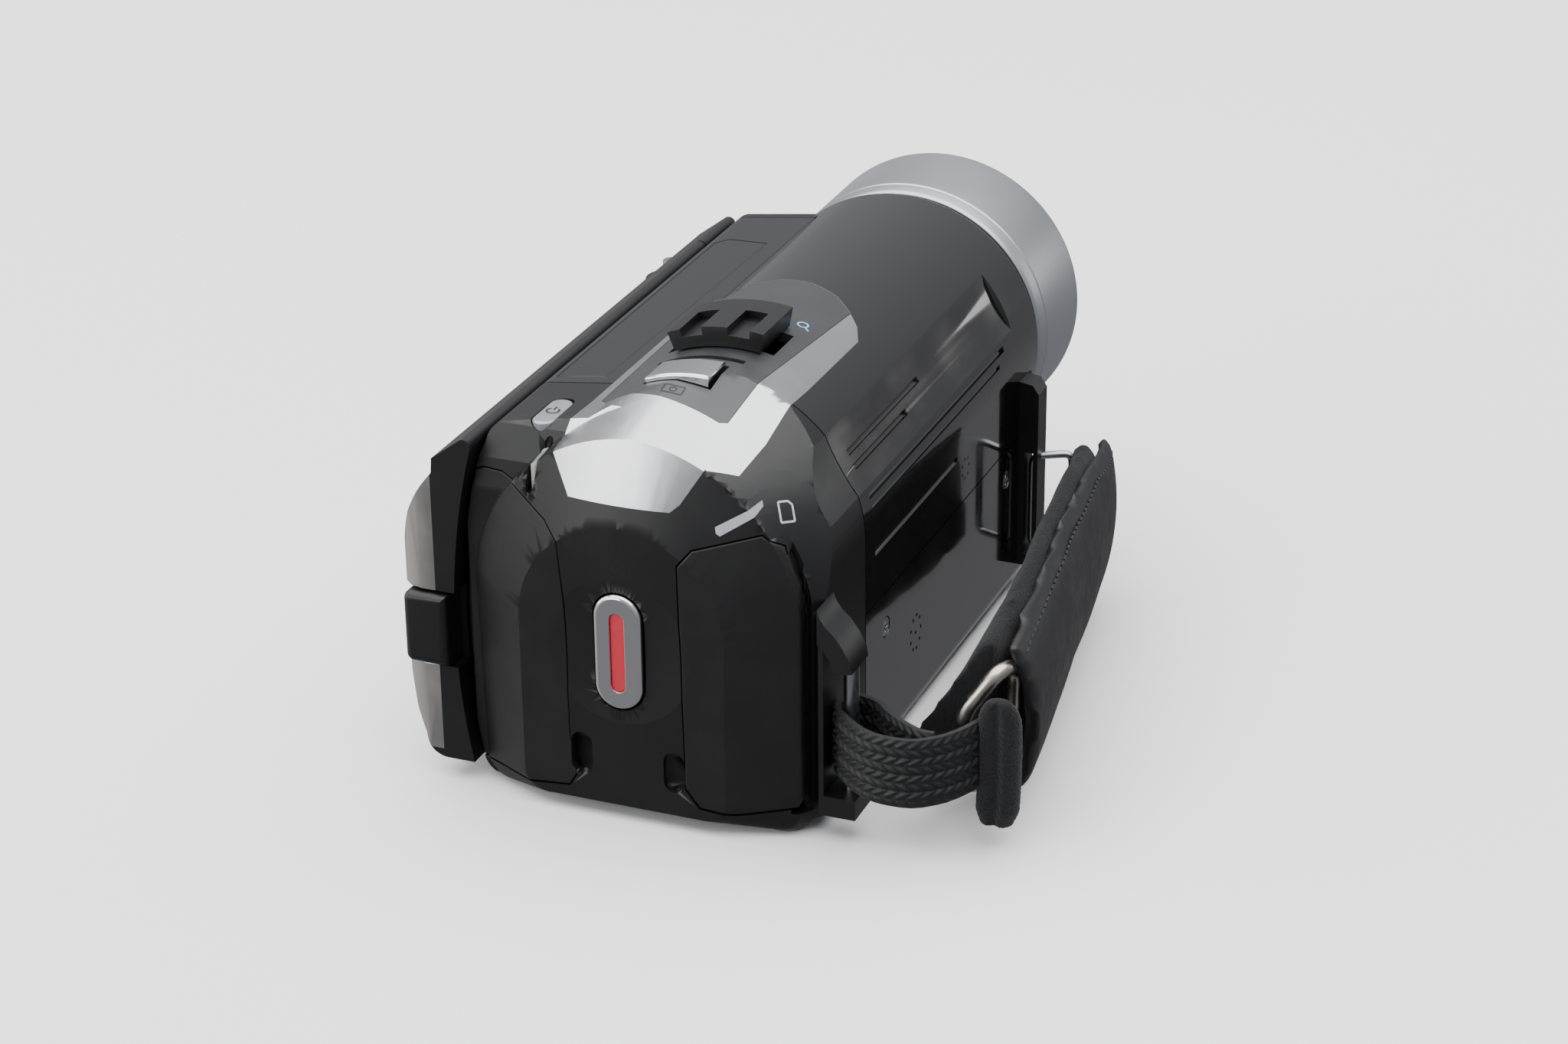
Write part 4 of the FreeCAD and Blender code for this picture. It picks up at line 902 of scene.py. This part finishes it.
# Outer face of the pad seen from above, then the heights of its upper and lower edge along y.
PAD_LINE = [(59.3, 18.0), (58.4, 25.0), (57.3, 33.0), (56.1, 41.0), (54.9, 49.0), (53.6, 57.0),
            (52.6, 65.0), (51.5, 73.0), (50.2, 81.0), (48.9, 89.0), (47.2, 96.0), (45.2, 101.5)]
PAD_TOP = [(10, 30.0), (24, 31.6), (50, 33.2), (80, 32.4), (106, 27.6)]
PAD_FOOT = [(10, 7.6), (30, 3.8), (84, 4.2), (106, 8.0)]
PAD_MIDDLE = 18.0
PAD_STEP, PAD_ROWS = 1.6, 18
LINING_THICK, LINING_BELLY, LINING_FLAP = 2.2, 3.3, 11.0
SEAM_DOWN, SEAM_DEEP = 2.6, 0.12
STITCH_R = 0.16


def height(table, y):
    """Value of a table of (y, height) at y."""
    for (y0, z0), (y1, z1) in zip(table, table[1:]):
        if y <= y1:
            return z0 + (z1 - z0) * (y - y0) / (y1 - y0)
    return table[-1][1]


def pad_face(x, y, z, depth):
    """x of a pad face that lies at some depth under the leather."""
    t = (z - PAD_MIDDLE) / 14.0
    curl = (4.4 - 2.2 * min(1.0, (y - 18.0) / 30.0)) * t ** 2 if t > 0 else 3.2 * t ** 2
    return x - curl - depth


def pad_layer(name, path, near, far, belly, flap, inset):
    """One layer of the pad. It bellies inwards, and its rear corner hangs away."""
    rings = []
    for here in flowing([Vector((x, y, 0)) for x, y in path], PAD_STEP):
        x, y = here.x, here.y
        top, foot = height(PAD_TOP, y) - inset, height(PAD_FOOT, y) + inset
        lean = flap * max(0.0, (34.0 - y) / 16.0)
        outer, inner = [], []
        for i in range(PAD_ROWS + 1):
            z = foot + (top - foot) * i / PAD_ROWS
            hang = lean * min(1.0, (top - z) / (top - 14.0))
            pinch = 0.35 * (far - near) * max(0.0, 1.0 - min(i, PAD_ROWS - i) / 1.5) ** 2
            swell = belly * (1.0 - ((z - 17.0) / 15.0) ** 2)
            outer.append(at(pad_face(x, y, z, near) - hang - pinch, y, z))
            inner.append(at(pad_face(x, y, z, far + swell) - hang + pinch, y, z))
        rings.append(outer + inner[::-1])
    return loft(name, rings)


class CAMCORDER_OT_hand_pad(bpy.types.Operator):
    """Leather hand pad with its pile lining and stitches"""
    bl_idname = "camcorder.hand_pad"
    bl_label = "Hand pad"

    def execute(self, context):
        look = finishes()
        strap = context.scene.camcorder_strap
        thick = strap.pad_thick / MM
        pad = pad_layer("hand_pad_leather", PAD_LINE, 0.3, thick - 0.1, 0.0, 0.0, 0.3)
        puffed(pad)
        smooth(pad, 60)
        settle(pad, "hand_pad_leather", look["leather"], "camera_body", SLOT_OF["hand_pad"], "hand_pad")

        near = thick + 0.3
        lining = pad_layer("pad_lining_pile", PAD_LINE[:-1], near, near + LINING_THICK, LINING_BELLY,
                           LINING_FLAP, 0.8)
        puffed(lining)
        smooth(lining, 60)
        settle(lining, "pad_lining_pile", look["pile"], "camera_body", SLOT_OF["pad_lining"], "pad_lining")

        seam = []
        for here in flowing([Vector((x, y, 0)) for x, y in PAD_LINE], strap.stitch_pitch / MM)[1:-1]:
            z = height(PAD_TOP, here.y) - SEAM_DOWN
            seam.append(at(pad_face(here.x, here.y, z, SEAM_DEEP), here.y, z))
        stitches = []
        for a, b in zip(seam, seam[1:]):
            reach = (b - a) * 0.31
            line = [(a + b) / 2 + reach * t for t in (-1.0, -0.5, 0.0, 0.5, 1.0)]
            stitches.append(tube("stitch", line, STITCH_R * MM, sides=8, loop=False))
        select_only(*stitches)
        bpy.ops.object.join()
        seam_piece = bpy.context.active_object
        smooth(seam_piece, 60)
        settle(seam_piece, "pad_stitches", look["thread"], "camera_body", SLOT_OF["hand_pad"])
        return {"FINISHED"}


INK_PROUD = 0.025          # ink above its surface, in mm


def arc(radius, start=0, end=360, count=14):
    """Points on an arc round the middle of a sign, from its angles in degrees."""
    turns = [math.radians(start + (end - start) * i / count) for i in range(count + 1)]
    return [(radius * math.cos(a), radius * math.sin(a)) for a in turns]


def printed(name, part, strokes, spot, right, up, width, ink):
    """Ink lines of a generic sign, laid on the finished part that they are printed on."""
    mesh = bpy.data.objects[part + "_finished"].data
    surface = BVHTree.FromPolygons([v.co for v in mesh.vertices], [p.vertices for p in mesh.polygons])
    right, up = Vector(right).normalized(), Vector(up).normalized()
    out = right.cross(up)
    lines = []
    for stroke in strokes:
        points = [Vector((u, v, 0)) for u, v in stroke]
        if len(points) > 2:
            line = flowing(points, 0.22)
        else:
            line = [points[0].lerp(points[1], k / 8) for k in range(9)]
        rows = []
        for i, here in enumerate(line):
            along = (line[min(i + 1, len(line) - 1)] - line[max(i - 1, 0)]).normalized()
            side = Vector((-along.y, along.x, 0)) * width / 2
            row = []
            for point in (here + side, here - side):
                start = at(*spot) + (right * point.x + up * point.y + out * 6.0) * MM
                hit = surface.ray_cast(start, -out)[0]
                if hit is None:
                    raise RuntimeError(name + " misses its surface")
                row.append(hit + out * INK_PROUD * MM)
            rows.append(row)
        strip = loft("line", rows, wrap=False, caps=False)
        if sum(face.normal.dot(out) for face in strip.data.polygons) < 0:
            edit(strip, (bpy.ops.mesh.flip_normals, {}))
        lines.append(strip)
    select_only(*lines)
    if len(lines) > 1:
        bpy.ops.object.join()
    return settle(bpy.context.active_object, name, ink, BODY_OF[part], SLOT_OF[part])


def outline(corners):
    """Straight strokes through the corners, back to the first."""
    return [list(pair) for pair in zip(corners, corners[1:] + corners[:1])]


ACROSS, AHEAD, UPWARD = (1, 0, 0), (0, 1, 0), (0, 0, 1)
SHOULDER_ACROSS, SHOULDER_UP = (0.8, 0.6, 0), (-0.25, 0.35, 0.9)

# Signs: name, part, strokes in mm, spot, right, up, line width and ink.
SIGNS = (
    ("sign_power", "power_button", [arc(0.95, 125, 415, 18), [(0, 0.3), (0, 1.5)]],
     (-14.9, 13.2, 60), ACROSS, AHEAD, 0.3, "dark_ink"),
    ("sign_record", "rear_housing", [arc(1.5, count=28), arc(0.5)],
     (0.5, 0, 41.6), ACROSS, UPWARD, 0.4, "dark_ink"),
    ("sign_card", "rear_housing", outline([(-1.1, -1.5), (-1.1, 1.5), (0.5, 1.5), (1.1, 0.9), (1.1, -1.5)]),
     (23.6, 9.0, 50.6), SHOULDER_ACROSS, SHOULDER_UP, 0.3, "ink"),
    ("sign_wide", "control_panel", [[(-1.5, 0), (1.5, 0)]],
     (4.0, 47.6, 60), ACROSS, AHEAD, 0.35, "dark_ink"),
    ("sign_close", "control_panel", [arc(0.8, count=18), [(0.6, -0.6), (1.4, -1.4)]],
     (11.2, 47.2, 60), ACROSS, AHEAD, 0.3, "pale_blue_ink"),
    ("sign_still", "control_panel",
     outline([(-1.6, -0.9), (1.6, -0.9), (1.6, 0.9), (-1.6, 0.9)]) + [arc(0.5)],
     (2.6, 17.4, 60), ACROSS, AHEAD, 0.25, "dark_ink"),
)


class CAMCORDER_OT_signs(bpy.types.Operator):
    """Generic printed signs: power, record, card, wide, close and still"""
    bl_idname = "camcorder.signs"
    bl_label = "Signs"

    def execute(self, context):
        for *sign, ink in SIGNS:
            printed(*sign, finishes()[ink])
        return {"FINISHED"}


STEPS = (
    CAMCORDER_OT_stage, CAMCORDER_OT_shells, CAMCORDER_OT_ports, CAMCORDER_OT_controls, CAMCORDER_OT_lens,
    CAMCORDER_OT_screen, CAMCORDER_OT_fittings, CAMCORDER_OT_webbing, CAMCORDER_OT_hand_pad,
    CAMCORDER_OT_signs,
)


class CAMCORDER_PT_panel(bpy.types.Panel):
    """Settings and steps of the camcorder"""
    bl_idname = "CAMCORDER_PT_panel"
    bl_label = "Camcorder"
    bl_space_type = "VIEW_3D"
    bl_region_type = "UI"
    bl_category = "Camcorder"

    def draw(self, context):
        for group in (context.scene.camcorder_strap, context.scene.camcorder_look):
            box = self.layout.box()
            for name in group.bl_rna.properties.keys():
                if name not in ("rna_type", "name"):
                    box.prop(group, name)
        for step in STEPS:
            self.layout.operator(step.bl_idname)


CLASSES = (CamcorderStrap, CamcorderLook) + STEPS + (CAMCORDER_PT_panel,)


def register():
    for kind in CLASSES:
        bpy.utils.register_class(kind)
    bpy.types.Scene.camcorder_strap = bpy.props.PointerProperty(type=CamcorderStrap)
    bpy.types.Scene.camcorder_look = bpy.props.PointerProperty(type=CamcorderLook)


def unregister():
    del bpy.types.Scene.camcorder_look
    del bpy.types.Scene.camcorder_strap
    for kind in reversed(CLASSES):
        bpy.utils.unregister_class(kind)


def main():
    register()
    for step in STEPS:
        group, action = step.bl_idname.split(".")
        getattr(getattr(bpy.ops, group), action)()


if __name__ == "__main__":
    main()
